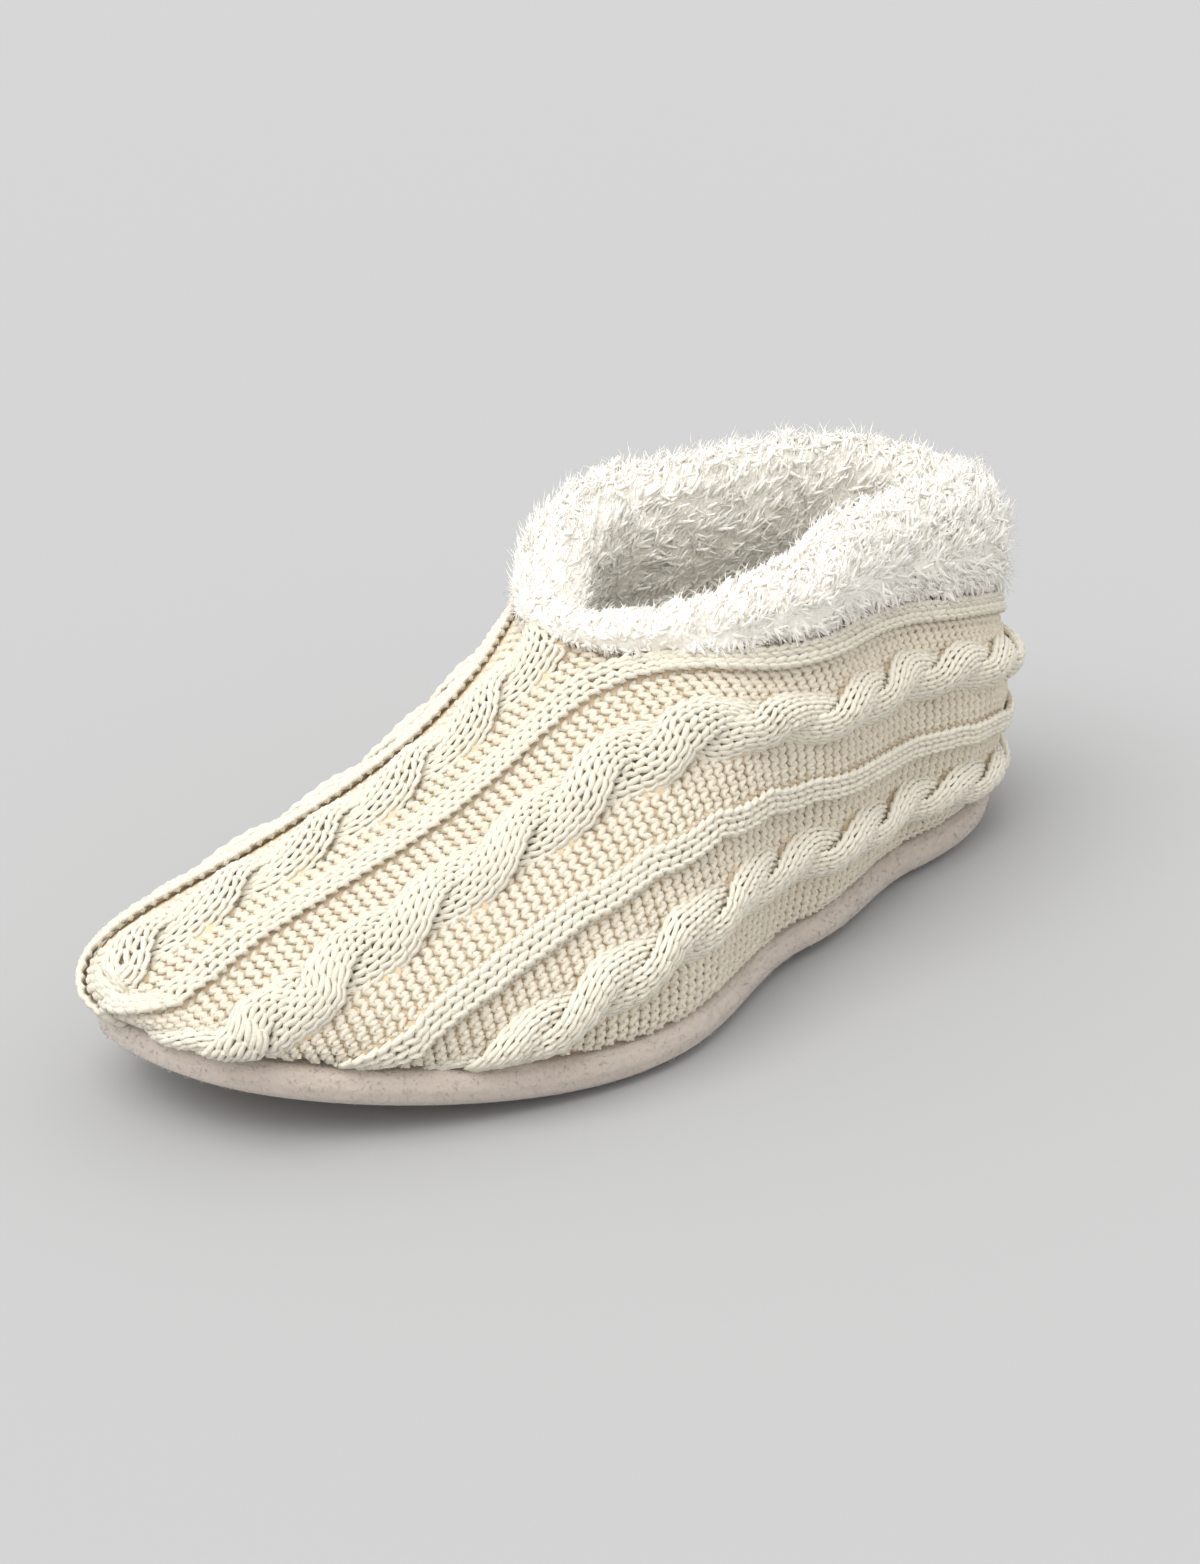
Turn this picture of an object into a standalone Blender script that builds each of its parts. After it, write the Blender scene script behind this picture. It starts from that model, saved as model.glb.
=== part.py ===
"""Slipper sock, left foot, about 250 mm long.

A cable-knit bootie closed underneath by a padded sole, with a long-pile plush cuff
standing up from its collar and a footbed inside. Lengths are metres, +Z is up, the toe
points to -Y and the outer side of the foot is at +X. The sole rests on Z = 0.

A station s is the distance from the toe tip along the foot. A height v runs from 0 at
the sole seam to 1 at the top line, which is the instep ridge in front of the throat and
the collar edge behind it. A wale coordinate is the distance across the knit from the
middle of the instep panel.
"""
import math
import random
from functools import lru_cache

import bmesh
import bpy
from mathutils import Vector

# Main sizes of the last
LENGTH = 0.250
ORIGIN_AT, CENTRE_SHIFT = 0.1261, -0.0059
BALL_AT, BALL_OUTER_HALF, BALL_INNER_HALF = 0.093, 0.0538, 0.0376
WAIST_AT, WAIST_OUTER_HALF, WAIST_INNER_HALF = 0.150, 0.0400, 0.0375
HEEL_AT, HEEL_HALF = 0.200, 0.0293
TOE_ROUNDNESS, HEEL_ROUNDNESS = 2.4, 2.05
TOE_SWING = 0.014
TOE_SPRING, SPRING_FROM, SPRING_POWER = 0.0125, 0.088, 1.6
THROAT_AT, THROAT_HEIGHT = 0.1125, 0.078
TOE_FRONT_HEIGHT, TOE_BOX_HEIGHT = 0.006, 0.014
TOE_BOX_LENGTH, TOE_BOX_ROUNDNESS = 0.032, 2.2
INSTEP_POWER = 1.5
COLLAR_HEEL_HEIGHT, COLLAR_ARCH = 0.0572, 0.0075
SECTION_TAPER, UPRIGHT_POWER = 1.2, 0.27
UPRIGHT_FROM, UPRIGHT_RUN = 0.0745, 0.096
BULGE, BULGE_CHANGE = 0.0046, 0.060

RIGHT_ANGLE = math.radians(90)

# Sole, footbed and the gap that meeting pieces keep
SEAM_HEIGHT = 0.0094
ARCH_LIFT, ARCH_FROM, ARCH_TO = 0.0012, 0.115, 0.180
FOOTBED_THICKNESS, FOOTBED_CLEARANCE = 0.004, 0.0015
FOOTBED_TOE_SHARE, FOOTBED_FULL_AT = 0.25, 0.045
GAP = 0.0003

# Knitted wall
WALL = 0.0025
SEAM_FADE = 0.007
RIDGE_WALE, SLIT_WALE = 0.003, 0.0115
HEEL_DRAW_IN = 0.775
CABLE_REPEAT, STRAND_HALF = 0.0235, 0.52

# Plush cuff
CUFF_THROAT_RISE, CUFF_HEEL_RISE, CUFF_INNER_SIDE_EXTRA = 0.0065, 0.030, 0.006
LOCK_LENGTH, LOCK_SEED = 0.0036, 7

# The bands of the knit on each half, outwards from the middle of the instep panel
KNIT_BANDS = (
    # (kind, middle of the band, half width, height over the wall)
    ("cable", 0.0000, 0.0078, 0.0024),
    ("rib", 0.0155, 0.0026, 0.0016),
    ("cable", 0.0323, 0.0083, 0.0032),
    ("rib", 0.0514, 0.0026, 0.0016),
    ("cable", 0.0685, 0.0080, 0.0030),
)

# Wale coordinates of the mesh lines that run along the foot
KNIT_WALES = (
    0.0, 0.0026, 0.0052, 0.0078, 0.0129, 0.0155, 0.0181, 0.0210, 0.0240, 0.0268,
    0.0295, 0.0323, 0.0351, 0.0378, 0.0406, 0.0447, 0.0488, 0.0514, 0.0540, 0.0572,
    0.0605, 0.0632, 0.0658, 0.0685, 0.0712, 0.0738, 0.0765,
)
INNER_WALES = (0.0, 0.0090, 0.0190, 0.0300, 0.0420, 0.0550, 0.0680)
WALE_MARGIN = 0.0009
ABOVE_ALL, BELOW_ALL = -1.0, 1.0

# How the wales are eased along the foot, more the farther they lie from the panel's middle
LAY_STEP, LAY_EASE, LAY_REACH = 0.002, 1.1, 0.055
EASE_WEIGHTS = (1, 3, 5, 6, 5, 3, 1)

KNIT_ROW, INNER_ROW, FIRST_ROW = 0.00375, 0.0070, 0.0007
INNER_RISE = 0.0003

# Level by level outline of the sole
SOLE_LEVELS = (
    # (distance outside the seam line, share of the seam height)
    (-0.0060, 0.00),
    (-0.0022, 0.07),
    (0.0004, 0.28),
    (0.0012, 0.60),
    (0.0006, 0.88),
    (-0.0010, 1.00),
)

# Section of the cuff: out from the knit's skin, and up as a share of the rise or down
CUFF_SECTION = (
    # (name, out, share of the rise, extra height)
    ("foot", 0.0008, 0.00, 0.0008),
    ("outer low", 0.0028, 0.28, 0.0),
    ("outer middle", 0.0036, 0.52, 0.0),
    ("outer high", 0.0028, 0.76, 0.0),
    ("rim outside", 0.0002, 0.93, 0.0),
    ("rim", -0.0032, 1.00, 0.0),
    ("rim inside", -0.0072, 0.93, 0.0),
    ("inner high", -0.0102, 0.70, 0.0),
    ("inner low", -0.0118, 0.30, 0.0),
    ("leg top", -0.0120, 0.00, -0.0030),
    ("leg inside", -0.0120, 0.00, -0.0110),
    ("leg end", -0.0092, 0.00, -0.0150),
    ("leg outside", -0.0060, 0.00, -0.0120),
    ("leg root", -0.0042, 0.00, 0.0010),
)
CUFF_STATIONS = 37


def ease(t):
    t = min(max(t, 0.0), 1.0)
    return t * t * (3 - 2 * t)


def half_width(s, side):
    """Half width of the sole outline; side is +1 outside the foot and -1 inside."""
    ball = BALL_OUTER_HALF if side > 0 else BALL_INNER_HALF
    waist = WAIST_OUTER_HALF if side > 0 else WAIST_INNER_HALF
    if s < BALL_AT:
        p = TOE_ROUNDNESS
        return ball * max(0.0, 1 - (1 - s / BALL_AT) ** p) ** (1 / p)
    if s < WAIST_AT:
        return ball + (waist - ball) * ease((s - BALL_AT) / (WAIST_AT - BALL_AT))
    if s < HEEL_AT:
        return waist + (HEEL_HALF - waist) * ease((s - WAIST_AT) / (HEEL_AT - WAIST_AT))
    p = HEEL_ROUNDNESS
    return HEEL_HALF * max(0.0, 1 - ((s - HEEL_AT) / (LENGTH - HEEL_AT)) ** p) ** (1 / p)


def centre(s):
    """The middle line swings to the inside of the foot at the toe."""
    return CENTRE_SHIFT - TOE_SWING * ease((BALL_AT - s) / BALL_AT)


def lift(s):
    """Toe spring of the sole and of all that stands on it."""
    return TOE_SPRING * min(max(1 - s / SPRING_FROM, 0.0), 1.0) ** SPRING_POWER


def ridge_height(s):
    """Toe box and instep ridge of the last, carried on over the ankle behind the throat."""
    toe = SEAM_HEIGHT + lift(0)
    from_box = max(1 - s / TOE_BOX_LENGTH, 0.0) ** TOE_BOX_ROUNDNESS
    dome = (1 - from_box) ** (1 / TOE_BOX_ROUNDNESS)
    box = TOE_FRONT_HEIGHT + (TOE_BOX_HEIGHT - TOE_FRONT_HEIGHT) * dome
    rise = THROAT_HEIGHT - toe - TOE_BOX_HEIGHT
    return toe + box + rise * (s / THROAT_AT) ** INSTEP_POWER


def collar_share(s):
    return min(max((s - THROAT_AT) / (LENGTH - THROAT_AT), 0.0), 1.0)


def collar_height(s):
    t = collar_share(s)
    return THROAT_HEIGHT + (COLLAR_HEEL_HEIGHT - THROAT_HEIGHT) * t + COLLAR_ARCH * 4 * t * (1 - t)


def top_angle(s):
    """Angle around the section at which the knit ends: the ridge, or the collar edge."""
    if s <= THROAT_AT:
        return RIGHT_ANGLE
    seam = SEAM_HEIGHT + lift(s)
    return math.asin(min(1.0, (collar_height(s) - seam) / (ridge_height(s) - seam)))


def outward(s, side):
    """Plan direction out of the sole outline."""
    step = 0.0005
    a, b = max(s - step, 0.0), min(s + step, LENGTH)
    slope = (half_width(b, side) - half_width(a, side)) / (b - a)
    size = math.hypot(1.0, slope)
    return side / size, -slope / size


def skin(s, v, side):
    """A point on the outside of the knit, before its bands are raised."""
    width = half_width(s, side)
    seam = SEAM_HEIGHT + lift(s) + GAP
    angle = v * top_angle(s)
    upright = ease((s - UPRIGHT_FROM) / UPRIGHT_RUN)
    power = SECTION_TAPER + (UPRIGHT_POWER - SECTION_TAPER) * upright
    x = width * max(math.cos(angle), 0.0) ** power
    z = seam + (ridge_height(s) - SEAM_HEIGHT - lift(s)) * math.sin(angle)
    out_x, out_y = outward(s, side)
    flank = RIGHT_ANGLE + (top_angle(s) - RIGHT_ANGLE) * ease((s - THROAT_AT) / BULGE_CHANGE)
    bulge = BULGE * max(math.sin(math.pi * min(angle / flank, 1.0)), 0.0) ** 0.9
    return Vector((
        side * x + centre(s) + out_x * bulge,
        s - ORIGIN_AT + out_y * bulge,
        z,
    ))


def growing_steps(start, end, step):
    """Stations from start to end, close together at the start and then step apart."""
    covered = [0.0]
    while covered[-1] < abs(end - start):
        covered.append(covered[-1] + min(step, FIRST_ROW + 0.3 * covered[-1]))
    return [start + (end - start) * c / covered[-1] for c in covered]


def station_rows(step):
    """Stations of the wall, close together at the toe, the throat and the heel."""
    middle = (THROAT_AT + LENGTH) / 2
    front = growing_steps(0.0, THROAT_AT, step)
    behind_throat = growing_steps(THROAT_AT, middle, step)[1:]
    heel = growing_steps(LENGTH, middle, step)
    return front + behind_throat + heel[-2::-1]


def section_arc(s, side):
    """Pairs of length up the section from the seam and height, from the seam to the top."""
    steps = 30
    line = [(0.0, 0.0)]
    before = skin(s, 0.0, side)
    for k in range(1, steps + 1):
        here = skin(s, k / steps, side)
        line.append((line[-1][0] + (here - before).length, k / steps))
        before = here
    return line


@lru_cache(maxsize=None)
def knit_lay(mark, side):
    """Where the ridge would lie up the section, and how wide the knit is drawn there."""
    s = min(max(mark * LAY_STEP, 0.0), LENGTH)
    top = section_arc(s, side)[-1][0]
    if s <= THROAT_AT:
        return top, 1.0
    edge = abs(skin(s, 1.0, side).x - centre(s))
    width = 1 + (HEEL_DRAW_IN - 1) * collar_share(s)
    slit = SLIT_WALE - side * RIDGE_WALE
    return top + slit * math.tanh(edge / slit) * width, width


def wale_line(s, wale, side):
    """Length up the section at which a wale runs, eased along the foot past the throat."""
    from_ridge = wale - side * RIDGE_WALE
    reach = min(0.004 + LAY_EASE * max(from_ridge, 0.0), LAY_REACH)
    total = 0.0
    for k, weight in enumerate(EASE_WEIGHTS):
        mark = (s + reach * (k - 3) / 3) / LAY_STEP
        low = math.floor(mark)
        middle, width = knit_lay(low, side)
        next_middle, next_width = knit_lay(low + 1, side)
        middle += (next_middle - middle) * (mark - low)
        width += (next_width - width) * (mark - low)
        total += weight * (middle - from_ridge * width)
    return total / sum(EASE_WEIGHTS)


def height_on(line, arc):
    for (a, va), (b, vb) in zip(line, line[1:]):
        if arc <= b:
            return va + (vb - va) * (arc - a) / (b - a)
    return 1.0


def cable_height(across, along):
    """Two strands that cross once a repeat, always rising towards the collar.

    across runs from -1 at the collar side to 1 at the sole side, and along counts
    repeats.
    """
    best = 0.0
    for k in range(math.floor(along) - 1, math.floor(along) + 3):
        t = along - k
        if abs(t) > 0.95:
            continue
        middle = -0.5 * math.sin(math.pi * t / 1.5)
        strand = max(0.0, 1 - ((across - middle) / STRAND_HALF) ** 2)
        best = max(best, math.sqrt(strand) * math.cos(math.pi * t / 2))
    return best


def band_height(s, wale):
    """How far the knit stands over its plain wall; wale is negative inside the foot."""
    for kind, middle, half, rise in KNIT_BANDS:
        across = (abs(wale) - middle) / half if middle else wale / half
        if abs(across) < 1:
            if kind == "rib":
                return rise * (1 - across * across)
            return rise * cable_height(across, s / CABLE_REPEAT)
    return 0.0


def stitch_rows(bm, low, high, side):
    """Faces between two rows, each a list of pairs of wale and vertex, top line first."""
    i = j = 0
    while i < len(low) - 1 or j < len(high) - 1:
        next_low = low[i + 1][0] if i < len(low) - 1 else math.inf
        next_high = high[j + 1][0] if j < len(high) - 1 else math.inf
        if next_low == next_high:
            corners = [low[i], high[j], high[j + 1], low[i + 1]]
            i, j = i + 1, j + 1
        elif next_low < next_high:
            corners = [low[i], high[j], low[i + 1]]
            i += 1
        else:
            corners = [low[i], high[j], high[j + 1]]
            j += 1
        ring = []
        for _, vert in corners:
            if vert not in ring:
                ring.append(vert)
        if len(ring) > 2:
            bm.faces.new(ring[::-1] if side > 0 else ring)


def last_surface(bm, rows, wales):
    """Open surface of the last, from the sole seam to the top line, on both sides.

    Returns for each vertex its station, height, wale and length up from the seam.
    """
    places = {}
    shared = {}
    for side in (1, -1):
        before = None
        for s in rows:
            at_end = s <= 0.0 or s >= LENGTH
            from_side = 1 if at_end else side
            line = section_arc(s, from_side)
            top = line[-1][0]
            spots = [(ABOVE_ALL, 1.0, RIDGE_WALE, top)]
            for wale in wales:
                arc = wale_line(s, wale, from_side)
                if WALE_MARGIN < arc < top - WALE_MARGIN:
                    spots.append((wale, height_on(line, arc), side * wale, arc))
            spots.append((BELOW_ALL, 0.0, 0.0, 0.0))
            row = []
            for order, v, wale, arc in spots:
                on_middle = at_end or (order == ABOVE_ALL and s <= THROAT_AT)
                if not (on_middle and (s, order) in shared):
                    vert = bm.verts.new(skin(s, v, from_side))
                    shared[(s, order)] = vert
                    places[vert] = (s, v, wale, arc)
                row.append((order, shared[(s, order)]))
            if before:
                stitch_rows(bm, before, row, side)
            before = row
    return places


def rim_edges(bm, places, level):
    """Open edges along the sole seam (level 0) or along the collar (level 1)."""
    found = []
    for edge in bm.edges:
        if edge.is_boundary and all(places[v][1] == level for v in edge.verts):
            found.append(edge)
    return found


def knit_upper():
    """Hollow knitted wall: a fine outer skin with raised bands and a plain inner skin."""
    bm = bmesh.new()
    outer = last_surface(bm, station_rows(KNIT_ROW), KNIT_WALES)
    bm.normal_update()
    moves = {}
    for vert, (s, v, wale, arc) in outer.items():
        from_collar = (1 - v) / 0.04 + max(THROAT_AT - s, 0.0) / 0.006
        fade = ease(arc / SEAM_FADE) * ease(from_collar)
        moves[vert] = vert.normal * band_height(s, wale) * fade
    for vert, move in moves.items():
        vert.co += move
    inside = bmesh.new()
    inner = last_surface(inside, station_rows(INNER_ROW), INNER_WALES)
    inside.normal_update()
    moved = {}
    for vert, (s, v, _, _) in inner.items():
        moved[vert] = vert.co - vert.normal * WALL
        seam = SEAM_HEIGHT + lift(s) + GAP
        moved[vert].z = vert.co.z if v == 0.0 else max(moved[vert].z, seam + INNER_RISE)
    for vert, place in moved.items():
        vert.co = place
    bmesh.ops.reverse_faces(inside, faces=inside.faces)
    copies = {}
    for vert in inside.verts:
        copies[vert] = bm.verts.new(vert.co)
        outer[copies[vert]] = inner[vert]
    for face in inside.faces:
        bm.faces.new([copies[v] for v in face.verts])
    inside.free()
    for level in (0.0, 1.0):
        bmesh.ops.bridge_loops(bm, edges=rim_edges(bm, outer, level))
    bmesh.ops.recalc_face_normals(bm, faces=bm.faces)
    return new_object("knit_upper", bm, KNIT)


def outline(offset, count_front, count_back):
    """Sole outline as two lists of plan points, outer side and inner side, toe to heel."""
    stations = []
    for k in range(count_front + 1):
        u = k / count_front
        stations.append(BALL_AT * (0.3 * u + 0.7 * (1 - math.cos(u * math.pi / 2))))
    for k in range(1, count_back + 1):
        u = k / count_back
        end = 1 - math.cos(math.pi * (0.5 + 0.5 * u))
        stations.append(BALL_AT + (LENGTH - BALL_AT) * (0.4 * u + 0.6 * (end - 1)))
    sides = []
    for side in (1, -1):
        points = []
        for s in stations:
            out_x, out_y = outward(s, side)
            if s == 0.0:
                out_x, out_y = 0.0, -1.0
            if s >= LENGTH:
                out_x, out_y = 0.0, 1.0
            x = side * half_width(s, side) + centre(s) + out_x * offset
            points.append((x, s - ORIGIN_AT + out_y * offset, s))
        sides.append(points)
    return sides


def slab(name, levels, material, counts):
    """Closed pad from outlines, one above the other, each a list of points on both sides."""
    bm = bmesh.new()
    rings = []
    for offset, height in levels:
        outer, inner = outline(offset, *counts)
        ring = []
        for x, y, s in outer + inner[-2:0:-1]:
            ring.append(bm.verts.new((x, y, height(s))))
        rings.append(ring)
    count = len(rings[0])
    for low, high in zip(rings, rings[1:]):
        for k in range(count):
            n = (k + 1) % count
            bm.faces.new([low[k], low[n], high[n], high[k]])
    half = count // 2
    for ring, up in ((rings[0], False), (rings[-1], True)):
        for k in range(half):
            a, b = ring[k], ring[k + 1]
            c, d = ring[(count - k - 1) % count], ring[(count - k) % count]
            corners = [a, b, c] if a is d else [a, b, c, d]
            if b is c:
                corners = [a, b, d]
            bm.faces.new(corners if up else corners[::-1])
    bmesh.ops.recalc_face_normals(bm, faces=bm.faces)
    return new_object(name, bm, material)


def arch(s):
    """The bottom leaves the floor a little under the waist of the foot."""
    if not ARCH_FROM < s < ARCH_TO:
        return 0.0
    return ARCH_LIFT * math.sin(math.pi * (s - ARCH_FROM) / (ARCH_TO - ARCH_FROM)) ** 2


def padded_sole():
    """Suede-covered pad that wraps up to the seam."""
    levels = []
    for offset, share in SOLE_LEVELS:
        def height(s, share=share):
            return share * SEAM_HEIGHT + lift(s) + arch(s) * (1 - share)
        levels.append((offset, height))
    return slab("padded_sole", levels, SUEDE, (15, 21))


def footbed():
    """Plush-covered pad that lies inside on the sole."""
    inset = -(WALL + FOOTBED_CLEARANCE)
    base = SEAM_HEIGHT + GAP

    def height(s, share):
        full = FOOTBED_TOE_SHARE + (1 - FOOTBED_TOE_SHARE) * ease(s / FOOTBED_FULL_AT)
        return base + lift(s) + share * full * FOOTBED_THICKNESS

    levels = (
        (inset - 0.0006, lambda s: height(s, 0.0)),
        (inset - 0.0004, lambda s: height(s, 0.6)),
        (inset - 0.0026, lambda s: height(s, 1.0)),
    )
    return slab("footbed", levels, PLUSH, (10, 16))


def cuff_rise(s, side):
    t = collar_share(s)
    rise = CUFF_THROAT_RISE + (CUFF_HEEL_RISE - CUFF_THROAT_RISE) * t ** 0.75
    if side < 0:
        rise += CUFF_INNER_SIDE_EXTRA * ease(t / 0.15) * (1 - t)
    return rise


def cuff_frame(s, side):
    """Collar point, the way up the knit, the way out of it, and the cuff's own two ways."""
    edge = skin(s, 1.0, side)
    if s <= THROAT_AT:
        run = Vector((side, 0, 0))
        down = skin(s - 0.004, 1.0, side) - edge
    else:
        ahead = skin(min(s + 0.002, LENGTH), 1.0, side)
        behind = skin(max(s - 0.002, THROAT_AT), 1.0, side)
        run = Vector((-side, 0, 0)) if s >= LENGTH else (ahead - behind).normalized()
        down = skin(s, 0.94, side) - edge
    wall_out = (down.cross(run) * side).normalized()
    along_wall = (wall_out.cross(run) * side).normalized()
    up = (along_wall + Vector((0, 0, 1.2))).normalized()
    cuff_out = (run.cross(up) * side).normalized()
    return edge, along_wall, wall_out, up, cuff_out


def plush_cuff():
    """Fur collar: a closed ring with a leg tucked inside the knit and raised locks."""
    draw = random.Random(LOCK_SEED)
    loop = []
    for k in range(CUFF_STATIONS + 1):
        u = k / CUFF_STATIONS
        share = 0.35 * u + 0.325 * (1 - math.cos(math.pi * u))
        loop.append((THROAT_AT + (LENGTH - THROAT_AT) * share, 1))
    loop += [(s, -1) for s, _ in loop[-2:0:-1]]
    bm = bmesh.new()
    rings = []
    for i, (s, side) in enumerate(loop):
        edge, along_wall, wall_out, up, cuff_out = cuff_frame(s, side)
        rise = cuff_rise(s, side)
        ring = []
        for j, (name, out, share, extra) in enumerate(CUFF_SECTION):
            leg = name.startswith("leg")
            if leg:
                point = edge + along_wall * extra + wall_out * out
            else:
                point = edge + up * (share * rise + extra) + cuff_out * out
            if not leg and name != "foot" and (i + j) % 2 == 0:
                length = LOCK_LENGTH * draw.uniform(0.5, 1.0) * min(1.0, rise / 0.014)
                push = cuff_out if j <= 5 else -cuff_out
                weight = 0.75 if j <= 4 else 0.35
                sway = cuff_out.cross(up) * draw.uniform(-0.4, 0.4)
                way = (push * weight + up * (1 - abs(j - 5) * 0.12) + sway).normalized()
                point += way * length
            ring.append(bm.verts.new(point))
        rings.append(ring)
    count = len(CUFF_SECTION)
    for i, ring in enumerate(rings):
        after = rings[(i + 1) % len(rings)]
        for j in range(count):
            n = (j + 1) % count
            bm.faces.new([ring[j], ring[n], after[n], after[j]])
    bmesh.ops.recalc_face_normals(bm, faces=bm.faces)
    return new_object("plush_cuff", bm, PLUSH)


def material(name, colour, roughness):
    made = bpy.data.materials.new(name)
    made.use_nodes = True
    shader = made.node_tree.nodes["Principled BSDF"]
    shader.inputs["Base Color"].default_value = (*colour, 1)
    shader.inputs["Roughness"].default_value = roughness
    shader.inputs["Metallic"].default_value = 0.0
    return made


def new_object(name, bm, finish):
    mesh = bpy.data.meshes.new(name)
    bm.to_mesh(mesh)
    bm.free()
    mesh.materials.append(finish)
    mesh.shade_smooth()
    obj = bpy.data.objects.new(name, mesh)
    PARTS.objects.link(obj)
    return obj


for old in list(bpy.data.objects):
    bpy.data.objects.remove(old)
PARTS = bpy.data.collections.new("slipper_sock")
bpy.context.scene.collection.children.link(PARTS)
KNIT = material("cream knit", (0.80, 0.74, 0.60), 0.9)
PLUSH = material("off-white plush", (0.86, 0.83, 0.77), 0.95)
SUEDE = material("pale suede cloth", (0.64, 0.55, 0.47), 0.85)

padded_sole()
knit_upper()
footbed()
plush_cuff()
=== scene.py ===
# %% [markdown]
# # A cable-knit slipper sock
# This lesson dresses a plain CAD slipper: yarn for the knitted wall, pile for the plush
# cuff and lining, napped cloth for the padded sole, then light and a camera.
# The CAD model comes in as a fixed frame. Nothing in it is moved; pieces that replace a
# solid keep that solid's form.

# %% Load the frame
import math

import bpy
import numpy as np
from mathutils import Matrix, Vector, noise


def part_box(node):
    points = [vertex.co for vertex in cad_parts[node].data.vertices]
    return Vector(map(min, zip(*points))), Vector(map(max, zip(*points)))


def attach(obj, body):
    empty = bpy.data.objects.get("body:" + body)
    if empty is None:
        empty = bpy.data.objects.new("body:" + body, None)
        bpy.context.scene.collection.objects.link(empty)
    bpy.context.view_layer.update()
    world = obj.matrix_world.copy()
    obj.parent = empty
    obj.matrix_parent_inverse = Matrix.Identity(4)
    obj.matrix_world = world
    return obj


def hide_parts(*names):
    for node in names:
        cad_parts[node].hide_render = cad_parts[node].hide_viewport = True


RANDOM = np.random.default_rng(11)
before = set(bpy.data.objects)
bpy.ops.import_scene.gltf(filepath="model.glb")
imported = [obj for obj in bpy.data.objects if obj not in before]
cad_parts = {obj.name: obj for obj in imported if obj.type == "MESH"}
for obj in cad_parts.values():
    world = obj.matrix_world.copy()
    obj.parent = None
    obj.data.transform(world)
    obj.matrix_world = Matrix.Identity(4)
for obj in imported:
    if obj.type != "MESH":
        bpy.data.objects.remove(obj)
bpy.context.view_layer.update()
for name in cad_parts:
    low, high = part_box(name)
    print(name, [round(1000 * (b - a), 1) for a, b in zip(low, high)], "mm")

# %% [markdown]
# ## The last
# A knitted slipper takes its form from the last that it is stretched over. The CAD part
# describes that last with a few sizes: where the ball, waist and heel lie, how wide they
# are, how the instep rises and where the collar is cut. The same sizes are used here, so
# that every stitch lies on the CAD wall. Lengths are metres, the toe points to -Y.

# %% Sizes of the last
LENGTH = 0.250
ORIGIN_AT, CENTRE_SHIFT = 0.1261, -0.0059
BALL_AT, BALL_OUTER_HALF, BALL_INNER_HALF = 0.093, 0.0538, 0.0376
WAIST_AT, WAIST_OUTER_HALF, WAIST_INNER_HALF = 0.150, 0.0400, 0.0375
HEEL_AT, HEEL_HALF = 0.200, 0.0293
TOE_ROUNDNESS, HEEL_ROUNDNESS = 2.4, 2.05
TOE_SWING = 0.014
TOE_SPRING, SPRING_FROM, SPRING_POWER = 0.0125, 0.088, 1.6
THROAT_AT, THROAT_HEIGHT = 0.1125, 0.078
TOE_FRONT_HEIGHT, TOE_BOX_HEIGHT = 0.006, 0.014
TOE_BOX_LENGTH, TOE_BOX_ROUNDNESS = 0.032, 2.2
INSTEP_POWER = 1.5
COLLAR_HEEL_HEIGHT, COLLAR_ARCH = 0.0572, 0.0075
SECTION_TAPER, UPRIGHT_POWER = 1.2, 0.27
UPRIGHT_FROM, UPRIGHT_RUN = 0.0745, 0.096
BULGE, BULGE_CHANGE, BULGE_POWER = 0.0046, 0.060, 0.9
SEAM_HEIGHT, GAP = 0.0094, 0.0003
RIDGE_WALE, SLIT_WALE, HEEL_DRAW_IN = 0.003, 0.0115, 0.775
LAY_FROM, LAY_EASE, LAY_REACH = 0.004, 1.1, 0.055
EASE_WEIGHTS = (1, 3, 5, 6, 5, 3, 1)
RIGHT_ANGLE = math.radians(90)
print("last", round(1000 * LENGTH), "mm long, toe", round(1000 * TOE_SPRING, 1), "mm off the floor")

# %% [markdown]
# ## The skin of the last
# Every cross-section of the last is part of an ellipse that grows more upright towards
# the heel. A skin like this could be lofted from drawn curves, but functions have a
# gain here: they give a place for any station and level, and the stitches ask for
# thousands of them.

# %% Skin of the last
def ease(t):
    t = np.clip(t, 0.0, 1.0)
    return t * t * (3 - 2 * t)


def unit(vectors):
    return vectors / np.maximum(np.linalg.norm(vectors, axis=-1, keepdims=True), 1e-9)


def half_width(s, side):
    """Half width of the sole outline at station s; side is 1 outside the foot, else -1."""
    ball = np.where(side > 0, BALL_OUTER_HALF, BALL_INNER_HALF)
    waist = np.where(side > 0, WAIST_OUTER_HALF, WAIST_INNER_HALF)
    from_ball = np.clip(1 - s / BALL_AT, 0, 1) ** TOE_ROUNDNESS
    toe = ball * np.maximum(1 - from_ball, 0) ** (1 / TOE_ROUNDNESS)
    front = ball + (waist - ball) * ease((s - BALL_AT) / (WAIST_AT - BALL_AT))
    back = waist + (HEEL_HALF - waist) * ease((s - WAIST_AT) / (HEEL_AT - WAIST_AT))
    to_end = np.clip((s - HEEL_AT) / (LENGTH - HEEL_AT), 0, 1) ** HEEL_ROUNDNESS
    heel = HEEL_HALF * np.maximum(1 - to_end, 0) ** (1 / HEEL_ROUNDNESS)
    return np.select([s < BALL_AT, s < WAIST_AT, s < HEEL_AT], [toe, front, back], heel)


def centre(s):
    return CENTRE_SHIFT - TOE_SWING * ease((BALL_AT - s) / BALL_AT)


def lift(s):
    return TOE_SPRING * np.clip(1 - s / SPRING_FROM, 0, 1) ** SPRING_POWER


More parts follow.
